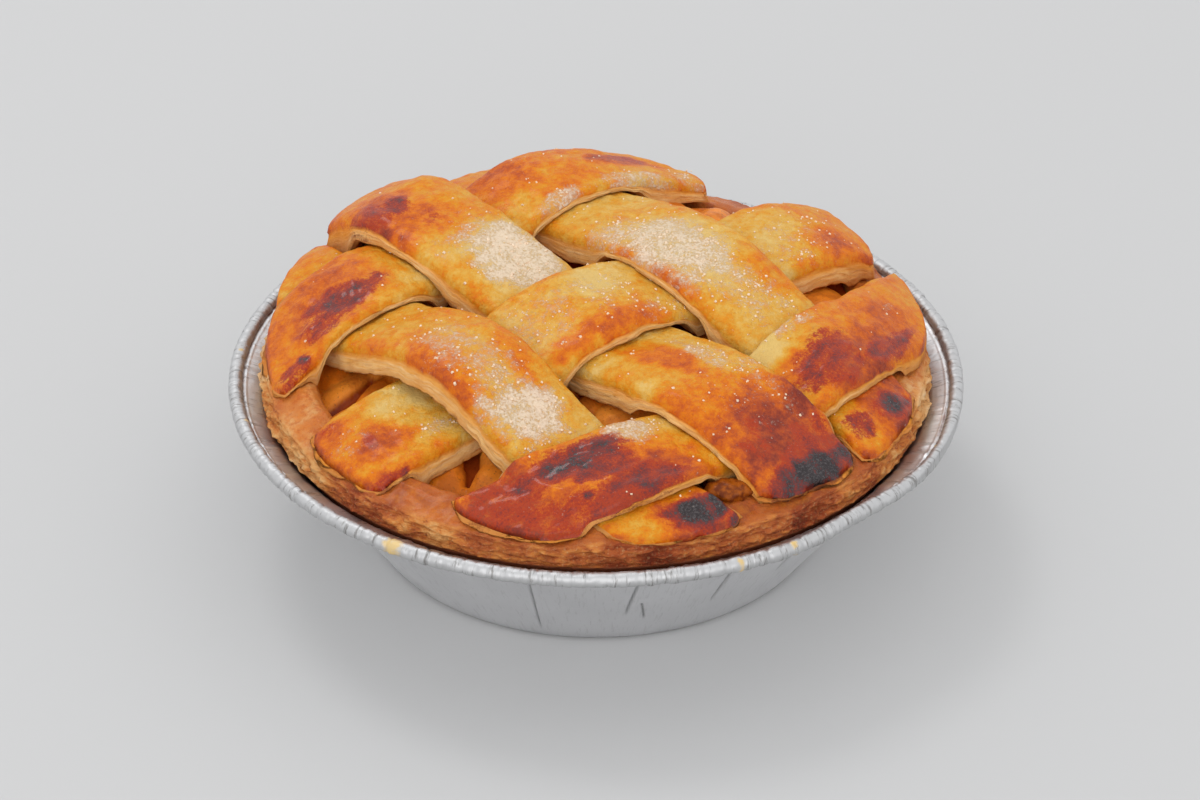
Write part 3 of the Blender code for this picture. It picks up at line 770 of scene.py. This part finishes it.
class Strip:
    """One strip of pastry, from its start at the left to its end at the right."""

    def __init__(
        self, name, family, place, offset, heading, bows, width, roll, arch, sink, reach, rise
    ):
        self.name = name
        self.family = family
        self.place = place
        self.offset = offset
        self.along_x = cos(radians(heading))
        self.along_y = sin(radians(heading))
        self.bows = bows
        self.half_width = width / 2.0
        self.roll = roll
        self.arch = arch
        self.sink = sink
        self.reach = reach
        self.rise = rise
        self.crossings = []

    def goes_over(self, other):
        """Whether this strip lies on top where the two cross."""
        crosses_odd = (self.place + other.place) % 2 == 1
        return crosses_odd == (self.family == "down")

    def middle_line(self, along):
        """How far to the side the bowed middle of the strip runs."""
        bow = np.where(along < 0.0, self.bows[0], self.bows[1])
        return self.offset + bow * (along / BOW_SPAN) ** 2

    def point(self, along, across):
        """The place on the table of a place along and across the strip."""
        side = self.middle_line(along) + across
        return along * self.along_x - side * self.along_y, along * self.along_y + side * self.along_x

    def local(self, x, y):
        """The place along and across the strip of a place on the table."""
        along = x * self.along_x + y * self.along_y
        return along, y * self.along_x - x * self.along_y - self.middle_line(along)

    def find_crossings(self, strips):
        """Finds how far along this strip each strip of the other family crosses it."""
        for other in strips:
            if other.family == self.family:
                continue
            along = 0.0
            turn = self.along_y * other.along_x - self.along_x * other.along_y
            for _ in range(CROSSING_ROUNDS):
                _, across = other.local(*self.point(along, 0.0))
                along -= float(across) / turn
            self.crossings.append((along, other))
        self.crossings.sort(key=lambda crossing: crossing[0])

    def weave(self, along):
        """How far the strip rises, going over, or sinks, going under, at these places."""
        stops = [(self.crossings[0][0] - WEAVE_RUN_OUT, 0.0)]
        for at, other in self.crossings:
            stops.append((at, self.arch if self.goes_over(other) else -self.sink))
        stops.append((self.crossings[-1][0] + WEAVE_RUN_OUT, 0.0))
        rise = np.zeros(along.shape)
        for (before, low), (after, high) in zip(stops, stops[1:]):
            inside = (along > before) & (along <= after)
            rise += inside * (low + (high - low) * soft_step((along - before) / (after - before)))
        return rise

    def edge_wobble(self, along, across):
        """How far the hand-cut edges stray."""
        return WOBBLE * ripple(along, across, self.offset, 9.0)

    def lift(self, x, y, floor):
        """The lowest that the underside may be: above this floor and the strips below."""
        height = floor + STRIP_GAP
        for _, other in self.crossings:
            if not self.goes_over(other):
                continue
            _, across = other.local(x, y)
            beyond = np.maximum(np.abs(across) - other.half_width - LIFT_MARGIN, 0.0)
            near = beyond < DRAPE_WIDTH
            if near.any():
                hang = DRAPE_DROP * (beyond[near] / DRAPE_WIDTH) ** 2
                resting = other.top(x[near], y[near]) + STRIP_GAP - hang
                height[near] = np.maximum(height[near], resting)
        return height

    def top(self, x, y):
        """The height of the strip's top, where it weaves, crowns, rolls and meets the rim."""
        along, across = self.local(x, y)
        share = np.minimum(np.abs(across) / self.half_width, 1.1)
        height = level(x, y) + WEAVE_HEIGHT * self.weave(along) + self.end_rise(along)
        height += self.roll * across / self.half_width - CROWN * share**CROWN_POWER
        height += 0.5 * self.edge_wobble(along, across)
        pressed = soft_step((np.hypot(x, y) - PRESSED_FROM) / PRESSED_WIDTH)
        thinnest = STRIP_THINNEST + (STRIP_PRESSED - STRIP_THINNEST) * pressed
        crest = rim_surface(np.maximum(np.hypot(x, y), RIM_CREST), np.arctan2(y, x))
        height = soft_max(height, crest + STRIP_GAP + thinnest, ONTO_RIM_BLEND)
        return soft_max(height, self.lift(x, y, np.zeros(x.shape)) + thinnest)

    def end_rise(self, along):
        """How far an end puffed up, or was pressed down, before it meets the rim."""
        rise = np.where(along < 0.0, self.rise[0], self.rise[1])
        return rise * soft_step((np.abs(along) - END_RISE_FROM) / END_RISE_WIDTH)

    def end_of(self, across, direction, flare):
        """How far along the strip each line along it reaches before the strip was trimmed."""
        left, right = self.reach[0] if direction < 0.0 else self.reach[1]
        share = across / self.half_width
        radius = (left + right) / 2.0 - (left - right) / 2.0 * share
        radius = radius - CORNER_TRIM * np.abs(share) ** CORNER_POWER + flare
        near = np.zeros(across.shape)
        far = np.full(across.shape, END_BEYOND)
        for _ in range(END_HALVINGS):
            middle = (near + far) / 2.0
            inside = np.hypot(*self.point(direction * middle, across)) < radius
            near = np.where(inside, middle, near)
            far = np.where(inside, far, middle)
        return direction * near

    def from_photo(self, across, down):
        """The place along and across the strip that shows at a place in the photo."""
        ray = photo_ray(across, down)
        heights = np.arange(*SEARCH_HEIGHTS)
        reach = (heights - camera_place[2]) / ray[2]
        x = camera_place[0] + reach * ray[0]
        y = camera_place[1] + reach * ray[1]
        first = (heights <= self.top(x, y)).argmax()
        along, side = self.local(x, y)
        return along[first], side[first]


# Each strip: name, family, place in it, offset from the middle, heading, bows, width, roll, how far
# it arches over and sinks under, how far out each end reaches at its two sides, and its ends' rise
strips = [
    Strip(
        "left", "down", 0, -29.5, -47.0, (3.3, 3.0), 17.5, -1.6, 2.2, 1.2,
        ((57.2, 57.2), (57.0, 56.6)), (3.8, 0.0),
    ),
    Strip(
        "middle", "down", 1, -5.6, -43.6, (2.6, 0.0), 19.6, -0.6, 1.0, 1.0,
        ((57.4, 57.0), (55.0, 55.8)), (4.2, 0.0),
    ),
    Strip(
        "right", "down", 2, 18.4, -46.7, (0.0, 0.0), 18.8, 0.0, 1.0, 1.0,
        ((56.0, 56.0), (56.8, 56.8)), (0.0, -1.5),
    ),
    Strip(
        "back", "across", 0, 32.6, 43.0, (1.0, -6.5), 18.9, 1.2, 0.95, 1.0,
        ((56.0, 57.2), (49.2, 54.6)), (0.0, -1.5),
    ),
    Strip(
        "centre", "across", 1, -3.7, 37.3, (0.0, 0.5), 19.5, 0.2, 0.95, 1.0,
        ((56.6, 55.8), (54.8, 55.8)), (0.0, 0.0),
    ),
    Strip(
        "front", "across", 2, -37.4, 40.9, (8.8, 9.3), 16.7, -0.6, 0.76, 1.0,
        ((57.2, 54.0), (57.2, 57.2)), (0.0, 0.0),
    ),
]
for strip in strips:
    strip.find_crossings(strips)

# What the oven and the baker left on each strip. Each patch: where its middle shows in the
# photo, its half length along the strip and half width across it, and its strength.
BAKED_SEED = 60.0
BAKED = {
    "left": (
        (320, 262, 7, 6, 0.05), (430, 345, 8, 4, 0.12), (510, 350, 4, 3, 0.08), (450, 372, 9, 2, 0.1),
        (530, 376, 5, 2, 0.2), (500, 440, 8, 6, -0.15), (700, 515, 9, 6, 0.3),
    ),
    "middle": (
        (395, 212, 10, 7, 0.28), (430, 215, 7, 5, 0.2), (520, 255, 11, 9, -0.25), (660, 354, 9, 4, 0.3),
        (700, 395, 10, 8, 0.15), (785, 430, 12, 9, 0.4),
    ),
    "right": (
        (690, 240, 12, 9, -0.25), (655, 270, 12, 3, 0.22), (765, 270, 7, 5, 0.1), (890, 395, 10, 8, 0.35),
    ),
    "back": (
        (330, 290, 12, 7, 0.14), (300, 335, 8, 7, 0.08), (432, 287, 7, 5, -0.15), (500, 180, 10, 7, 0.28),
        (560, 178, 8, 5, 0.15), (620, 158, 8, 3, 0.4), (640, 188, 9, 4, -0.25),
    ),
    "centre": (
        (400, 395, 6, 7, -0.25), (384, 438, 5, 4, 0.33), (330, 432, 4, 3, 0.22), (388, 488, 6, 4, 0.3),
        (590, 275, 9, 5, -0.25), (545, 300, 6, 6, 0.0), (620, 317, 10, 2.6, 0.22),
        (580, 337, 6, 2.5, 0.28), (785, 232, 8, 6, -0.08), (828, 238, 5, 4, 0.3),
    ),
    "front": (
        (680, 450, 8, 6, 0.08), (600, 480, 14, 7, 0.3), (510, 500, 10, 7, 0.42),
        (592, 484, 5, 2.4, -0.22), (760, 345, 5, 5, -0.3), (840, 310, 8, 6, 0.1), (885, 320, 7, 6, 0.22),
        (800, 365, 6, 4, 0.35), (860, 350, 10, 5, 0.3),
    ),
}
SCORCH_SEED = 20.0
SCORCHED = {
    "left": (
        (690, 511, 3.0, 4.5, 1.2), (712, 509, 3.0, 4.5, 1.1), (738, 519, 2.2, 2.6, 0.95),
        (733, 491, 4, 2.0, 0.5),
    ),
    "middle": (
        (392, 203, 4.2, 3.6, 0.72), (356, 225, 3.8, 2.6, 0.7), (376, 214, 5, 2.8, 0.6),
        (428, 212, 5, 3.4, 0.22), (815, 455, 6, 8, 0.5), (846, 449, 2.4, 4, 1.0),
        (816, 465, 2.6, 8.5, 1.25), (788, 481, 2.4, 4, 0.9), (760, 440, 5, 4, 0.25),
    ),
    "right": ((893, 403, 2.8, 4.4, 1.0), (860, 422, 3, 3, 0.6)),
    "back": (
        (345, 297, 9, 3.6, 0.82), (322, 304, 5, 2.6, 0.6), (303, 358, 1.3, 1.5, 0.95),
        (325, 328, 3.5, 1.8, 0.55), (293, 372, 3, 2.4, 0.5), (312, 387, 7, 1.6, 0.45),
        (625, 157, 5, 1.4, 0.45),
    ),
    "centre": (
        (368, 440, 1.6, 1.3, 0.5), (405, 467, 0.9, 0.7, 0.9), (388, 492, 5, 3, 0.6),
        (328, 430, 3, 1.4, 0.2),
    ),
    "front": (
        (575, 457, 10, 3.2, 0.95), (607, 464, 6, 3.4, 0.8), (642, 476, 8, 3.2, 0.8),
        (525, 483, 4, 2, 0.7), (588, 492, 0.9, 0.9, 0.9), (620, 505, 8, 4, 0.6), (500, 505, 9, 6, 0.42),
        (560, 522, 10, 4, 0.38), (825, 356, 7, 5, 0.6), (858, 357, 1.3, 1.3, 0.6),
        (890, 343, 7, 1.8, 0.7),
    ),
}
SUGAR_SEED = 40.0
SUGARED = {
    "left": ((530, 412, 8, 7, 0.95), (470, 345, 12, 6, 0.5), (500, 380, 6, 5, 0.6)),
    "middle": (
        (520, 255, 10, 8.5, 1.0), (475, 235, 7, 7, 0.5), (435, 240, 2, 1.2, 0.4), (445, 253, 3, 2, 0.35),
        (705, 350, 6, 3.4, 0.55), (748, 360, 3, 2.4, 0.5), (765, 382, 8, 2.4, 0.35),
        (730, 392, 10, 8, 0.16), (680, 340, 4, 3, 0.4),
    ),
    "right": ((680, 243, 13, 8.5, 0.85), (620, 232, 7, 6, 0.6), (745, 288, 9, 6, 0.5)),
    "back": ((560, 196, 5, 2.4, 0.7), (640, 178, 9, 3, 0.6), (685, 176, 3, 3, 0.6)),
    "centre": (
        (440, 425, 3.5, 2.4, 0.5), (348, 443, 4, 4, 0.3), (540, 320, 9, 7, 0.4), (600, 287, 9, 5, 0.35),
        (662, 302, 6, 4, 0.35), (790, 238, 9, 6, 0.35),
    ),
    "front": (
        (630, 428, 7, 3.4, 0.8), (605, 440, 4, 2.4, 0.4), (780, 322, 3, 3.4, 0.7),
        (806, 314, 3, 1.4, 0.5), (890, 305, 2.4, 1, 0.35),
    ),
}


def puffed(x, y, along, across, number):
    """The blisters and shallow wrinkles that the oven raised on a strip's top."""
    return ripples(x, y, number, PUFFS) + 0.18 * ripple(along / 3.0, across, number + 7.0, 1.5) - PUFF_DEPTH


def patches(strip, marks, along, across, seed):
    """The strength of the marks at each place, with edges as uneven as real ones."""
    total = np.zeros(along.shape)
    low = np.zeros(along.shape)
    uneven = ripples(along, across, seed, PATCH_EDGE)
    for photo_across, photo_down, half_along, half_across, strength in marks[strip.name]:
        at_along, at_across = strip.from_photo(photo_across, photo_down)
        apart = np.hypot((along - at_along) / half_along, (across - at_across) / half_across) + uneven
        part = strength * soft_step((1.35 - apart) / 0.9)
        total = np.maximum(total, part)
        low = np.minimum(low, part)
    return total + low


# The skin of a box cut into cells, which each strip stretches over its own shape
index = np.full((LENGTH_CELLS + 1, WIDTH_CELLS + 1, DEPTH_CELLS + 1), -1)
skin = np.zeros(index.shape, bool)
skin[[0, -1]] = True
skin[:, [0, -1]] = True
skin[:, :, [0, -1]] = True
index[skin] = np.arange(skin.sum())
skin_cells = np.argwhere(skin)
box_faces = []
for axis in range(3):
    for side in (0, -1):
        sheet = np.take(index, side, axis)
        around_cell = (sheet[:-1, :-1], sheet[1:, :-1], sheet[1:, 1:], sheet[:-1, 1:])
        if (side == -1) == (axis != 1):
            around_cell = around_cell[::-1]
        box_faces.append(np.stack(around_cell, -1).reshape(-1, 4))
box_faces = np.concatenate(box_faces)


def drawn_out(share):
    """Cells packed closer together towards both ends of the share from -1 to 1."""
    return 0.5 * share + 0.5 * np.sin(share * pi / 2.0)


share_along = skin_cells[:, 0] / LENGTH_CELLS
share_across = drawn_out(skin_cells[:, 1] / WIDTH_CELLS * 2.0 - 1.0)
depth = skin_cells[:, 2] / DEPTH_CELLS

for number, strip in enumerate(strips):
    flare = np.interp(depth, (0.0, 0.33, 0.66, 1.0), SIDE_FLARES)
    across = share_across * (strip.half_width + flare)
    start = strip.end_of(across, -1.0, 0.7 * flare)
    end = strip.end_of(across, 1.0, 0.7 * flare)
    along = start + (end - start) * (0.5 + 0.5 * drawn_out(2.0 * share_along - 1.0))
    across = across + share_across * strip.edge_wobble(along, share_across * 5.0)
    across = across + share_across * ripples(along, share_across * 2.0, number, CUT_EDGE)
    torn = ripple(along, depth * 14.0, number + share_across, 1.6)
    torn = torn + 0.7 * ripple(along * 1.5, depth * 22.0, number - share_across, 0.8)
    at_side = soft_step((np.abs(share_across) - 0.93) / 0.07) * soft_step(depth * 8.0)
    at_end = soft_step((np.abs(2.0 * share_along - 1.0) - 0.97) / 0.03) * soft_step(depth * 8.0)
    across = across + np.sign(share_across) * at_side * TORN_DEPTH * torn
    ragged = 0.4 * torn + 0.8 * ripple(across, depth * 3.0, number + share_along, 3.5) - 0.3
    along = along + np.sign(share_along - 0.5) * at_end * ragged
    x, y = strip.point(along, across)
    top = strip.top(x, y)
    settle = END_SETTLE * soft_step((np.hypot(x, y) - END_SETTLE_FROM) / END_SETTLE_WIDTH)
    bottom = np.maximum(top - STRIP_THICKNESS - settle, strip.lift(x, y, bed(x, y)))
    to_end = np.minimum(share_along, 1.0 - share_along) * (end - start)
    to_edge = np.minimum((1.0 - np.abs(share_across)) * strip.half_width, to_end)
    inward = np.clip(EDGE_ROUND - to_edge, 0.0, EDGE_ROUND)
    rounding = EDGE_ROUND - np.sqrt(EDGE_ROUND**2 - inward**2)
    scorch = patches(strip, SCORCHED, along, across, SCORCH_SEED + number)
    frost = patches(strip, SUGARED, along, across, SUGAR_SEED + number)
    frost = frost * (1.0 - 0.8 * np.clip(scorch, 0.0, 1.0))
    blister = puffed(x, y, along, across, number) + 0.16 * scorch * ripple(x, y, number, 1.4)
    z = top - rounding - depth * (top - rounding - bottom) + (1.0 - depth) * blister
    z = np.minimum(z, HIGHEST)
    near_end = soft_step((np.hypot(x, y) - 30.0) / 24.0)
    at_edge = soft_step((np.abs(share_across) - 0.72) / 0.24)
    bake = 0.24 + 0.22 * near_end + 0.10 * np.minimum(strip.weave(along), 1.0)
    bake = bake + 0.08 * ripple(x, y, number, 7.0) + at_edge * (0.05 + 0.18 * ripple(x, y, number, 4.0))
    bake = bake + 0.18 * soft_step((2.4 - to_end) / 2.4)
    strip.skin_points = np.stack([x, y, z], -1)
    strip.skin_vectors = {"laid": np.stack([along, across, depth * 5.0], -1)}
    strip.skin_values = {
        "bake": bake + patches(strip, BAKED, along, across, BAKED_SEED + number),
        "scorch": scorch,
        "frost": frost,
        "cut": np.clip((depth - 0.04) / 0.10, 0.0, 1.0),
        "side_depth": depth,
        "toast": 0.75 * soft_step((np.hypot(x, y) - 44.0) / 9.0) + 0.35 * at_end,
    }

pastry = Paint("golden_pastry")
spot = pastry.place()
cut = pastry.kept("cut")
scorch = pastry.kept("scorch")
frost = pastry.kept("frost")
side_depth = pastry.kept("side_depth")
mottle = pastry.noise(spot, 2.4, 5.0, 0.62)
patchy = pastry.noise(spot, 6.0, 3.0)
grain = pastry.noise(spot, 0.45, 4.0, 0.7)
bake = pastry.kept("bake") + 0.62 * (mottle - 0.5) + 0.34 * (grain - 0.5) + 0.30 * (patchy - 0.5)
crisp = pastry.noise(spot, 1.5, 6.0, 0.72).step(0.42, 0.6)
bake = bake + 0.10 * (crisp - 0.5)
egg_gold = pastry.ramp(bake.clamped(), (
    (0.0, (0.72, 0.48, 0.15)),
    (0.2, (0.71, 0.375, 0.052)),
    (0.37, (0.71, 0.265, 0.012)),
    (0.53, (0.70, 0.175, 0.006)),
    (0.69, (0.56, 0.105, 0.010)),
    (0.85, (0.37, 0.058, 0.018)),
    (1.0, (0.21, 0.030, 0.017)),
))
char_speckle = pastry.noise(spot, 0.4, 3.0, 0.75)
streaks = pastry.noise(pastry.kept_place("laid", (0.45, 1.0, 1.0)), 2.2, 4.0, 0.6)
charring = 1.3 * (char_speckle - 0.5) + 1.5 * (streaks - 0.5) + 0.6 * (mottle - 0.5)
singed = scorch * 0.95 + scorch.step(0.02, 0.3) * charring
speck = pastry.noise(spot, 0.5, 4.0, 0.7)
melted = (frost * 1.1 + 1.4 * (mottle - 0.5)).step(0.3, 1.0)
crystals = (frost * 0.85 + 1.1 * (mottle - 0.5) + 2.3 * (speck - 0.5)).step(0.34, 0.9)
egg_gold = pastry.over(
    egg_gold,
    (singed.step(0.08, 0.5), (0.43, 0.042, 0.008)),
    (singed.step(0.42, 0.85), (0.215, 0.028, 0.022)),
    (singed.step(0.82, 1.1), (0.030, 0.022, 0.024)),
    (singed.step(0.8, 1.2) * char_speckle.step(0.48, 0.62), (0.10, 0.085, 0.088)),
    (melted * 0.6, (0.74, 0.51, 0.29)),
    (crystals * 0.7, (0.82, 0.70, 0.57)),
)
layered = pastry.noise(pastry.kept_place("laid", (0.16, 0.4, 1.6)), 0.9, 5.0, 0.6)
dough = pastry.ramp(layered, (
    (0.3, (0.82, 0.40, 0.09)),
    (0.45, (0.88, 0.53, 0.19)),
    (0.7, (0.93, 0.68, 0.36)),
))
soaked = patchy * 1.2 - 0.6 + side_depth * 0.3 + (pastry.kept("bake") - 0.3) * 0.5
toasted = pastry.kept("toast") + 0.9 * (mottle - 0.5)
skin_edge = (1.0 - side_depth.step(0.10, 0.50)) * (0.45 + 1.0 * mottle)
dough = pastry.over(
    dough,
    (soaked.clamped(), (0.66, 0.26, 0.045)),
    (toasted.clamped() * 0.85, (0.58, 0.175, 0.022)),
    # Painted shade: the foot of each cut side is darkened where it meets what lies beneath
    (side_depth.step(0.55, 1.0) * 0.45, (0.55, 0.25, 0.07)),
    (skin_edge.clamped() * 0.8, (0.76, 0.29, 0.032)),
    (singed.step(0.3, 0.9) * 0.8, (0.20, 0.045, 0.02)),
)
pebbled = pastry.noise(spot, 1.1, 2.0)
egg_relief = grain * 0.5 + mottle * 0.5 + pebbled * 0.6 + crisp * 0.12 + crystals * 0.25
egg_relief = egg_relief + scorch * char_speckle * 1.2
gloss = 0.08 + 0.10 * bake.clamped() + 0.42 * scorch.clamped() - 0.08 * melted
pastry.finish(
    Base_Color=pastry.blend(cut, egg_gold, dough),
    Roughness=0.42 + 0.2 * cut + 0.14 * melted,
    Coat_Weight=(1.0 - cut) * gloss.clamped(),
    Coat_Roughness=0.13,
    Specular_IOR_Level=0.08,
    Normal=pastry.relief(egg_relief * (1.0 - cut) + cut * (layered * 0.6 + grain * 0.4), 0.42),
)
for strip in strips:
    show(
        "pastry_strip_" + strip.name, strip.skin_points, box_faces, pastry,
        ["lattice_" + strip.name], strip.skin_values, strip.skin_vectors,
    )


# The drop of juice: it boiled out between two strips at the front right, ran onto the rim and
# baked there to a wrinkled dark brown bead.
DROP_SHOWS = (728.0, 490.0)
DROP_HEIGHT = 33.6
DROP_HALVES = (3.7, 2.4, 1.5)
DROP_TURN = radians(-6.0)
DROP_RINGS = 41
DROP_STEPS = 96

ray = photo_ray(*DROP_SHOWS)
drop_middle = camera_place + ray * (DROP_HEIGHT - camera_place[2]) / ray[2]
down_the_ball = np.linspace(0.01, pi - 0.01, DROP_RINGS)
polar, around = np.meshgrid(down_the_ball, full_circle(DROP_STEPS), indexing="ij")
ball = np.stack([np.sin(polar) * np.cos(around), np.sin(polar) * np.sin(around), np.cos(polar)], -1)
wrinkled = 1.0 + 0.10 * ripple(ball[..., 0], ball[..., 1], ball[..., 2], 0.7)
wrinkled = wrinkled + 0.035 * np.sin(9.0 * ball[..., 0] + 5.0 * ball[..., 1] + 2.0 * ball[..., 2])
drop = ball * wrinkled[..., None] * DROP_HALVES
drop_x = drop[..., 0] * cos(DROP_TURN) - drop[..., 1] * sin(DROP_TURN)
drop_y = drop[..., 0] * sin(DROP_TURN) + drop[..., 1] * cos(DROP_TURN)
drop_points = (np.stack([drop_x, drop_y, drop[..., 2]], -1) + drop_middle).reshape(-1, 3)
caramel = Paint("burnt_juice")
spot = caramel.place()
darker = caramel.noise(spot, 1.2, 4.0).step(0.35, 0.65)
caramel.finish(
    Base_Color=caramel.blend(darker, (0.36, 0.085, 0.004), (0.15, 0.026, 0.003)),
    Roughness=0.35,
    Coat_Weight=0.12,
    Coat_Roughness=0.06,
    Specular_IOR_Level=0.12,
    Normal=caramel.relief(caramel.noise(caramel.place((1.0, 0.3, 0.6)), 0.5, 4.0, 0.65), 0.4),
)
show("baked_juice_drop", drop_points, ring_faces(DROP_RINGS, DROP_STEPS), caramel)


# The sugar: coarse grains that were thrown over the egg wash before baking, thickest in a
# few white patches. Each is a small cube with its corners worn and pushed about.
GRAIN_ROUNDS = 3
GRAIN_TRIES = 9000
GRAIN_SPAN = 56.0
GRAIN_REACH = 52.0
GRAIN_HALVES = (0.06, 0.19)
GRAIN_STRETCH = (0.7, 1.3)
GRAIN_WEAR = (0.75, 1.15)
SPRINKLED = 0.10
STRAY = 0.006
CLUMP_SEED = 80.0
CLUMP_SIZE = 2.0

rng = np.random.default_rng(3)
lying_at = []
for number, strip in enumerate(strips):
    for _ in range(GRAIN_ROUNDS):
        tries = rng.uniform(0.0, 1.0, (GRAIN_TRIES, 2))
        across = (2.0 * tries[:, 1] - 1.0) * (strip.half_width - 0.5)
        along = -GRAIN_SPAN + 2.0 * GRAIN_SPAN * tries[:, 0]
        x, y = strip.point(along, across)
        wanted = patches(strip, SUGARED, along, across, SUGAR_SEED + number)
        burnt = patches(strip, SCORCHED, along, across, SCORCH_SEED + number)
        clumped = 0.2 + 2.2 * np.maximum(ripple(x, y, CLUMP_SEED + number, CLUMP_SIZE), 0.0)
        kept = rng.random(len(tries)) < (SPRINKLED * wanted + STRAY) * clumped * (1.0 - burnt)
        kept &= np.hypot(x, y) < GRAIN_REACH
        lying = strip.top(x, y) + puffed(x, y, along, across, number)
        lying_at.append(np.stack([x, y, np.minimum(lying, HIGHEST - 0.1)], -1)[kept])
middles = np.concatenate(lying_at)[:, None]
count = len(middles)

rng = np.random.default_rng(8)
cube = np.array([(a, b, c) for a in (-1, 1) for b in (-1, 1) for c in (-1, 1)], float)
cube_faces = np.array([(0, 1, 3, 2), (4, 6, 7, 5), (0, 4, 5, 1), (2, 3, 7, 6), (0, 2, 6, 4), (1, 5, 7, 3)])
halves = rng.uniform(*GRAIN_HALVES, (count, 1, 1)) * rng.uniform(*GRAIN_STRETCH, (count, 1, 3))
corners = cube * halves * rng.uniform(*GRAIN_WEAR, (count, 8, 3))
quaternion = rng.normal(size=(count, 4))
quaternion /= np.linalg.norm(quaternion, axis=1)[:, None]
w, i, j, k = quaternion.T
spin = np.stack([
    1 - 2 * (j * j + k * k), 2 * (i * j - k * w), 2 * (i * k + j * w),
    2 * (i * j + k * w), 1 - 2 * (i * i + k * k), 2 * (j * k - i * w),
    2 * (i * k - j * w), 2 * (j * k + i * w), 1 - 2 * (i * i + j * j),
], -1).reshape(-1, 3, 3)
sugar_points = (np.einsum("nab,ncb->nca", spin, corners) + middles).reshape(-1, 3)
sugar_faces = (cube_faces[None] + 8 * np.arange(count)[:, None, None]).reshape(-1, 4)
sugar = Paint("coarse_sugar")
spot = sugar.place()
sugar.finish(
    Base_Color=sugar.blend(sugar.noise(spot, 1.5), (0.78, 0.54, 0.33), (0.86, 0.73, 0.57)),
    Roughness=0.25,
    Specular_IOR_Level=0.5,
)
show("sugar_grains", sugar_points, sugar_faces, sugar).data.shade_flat()
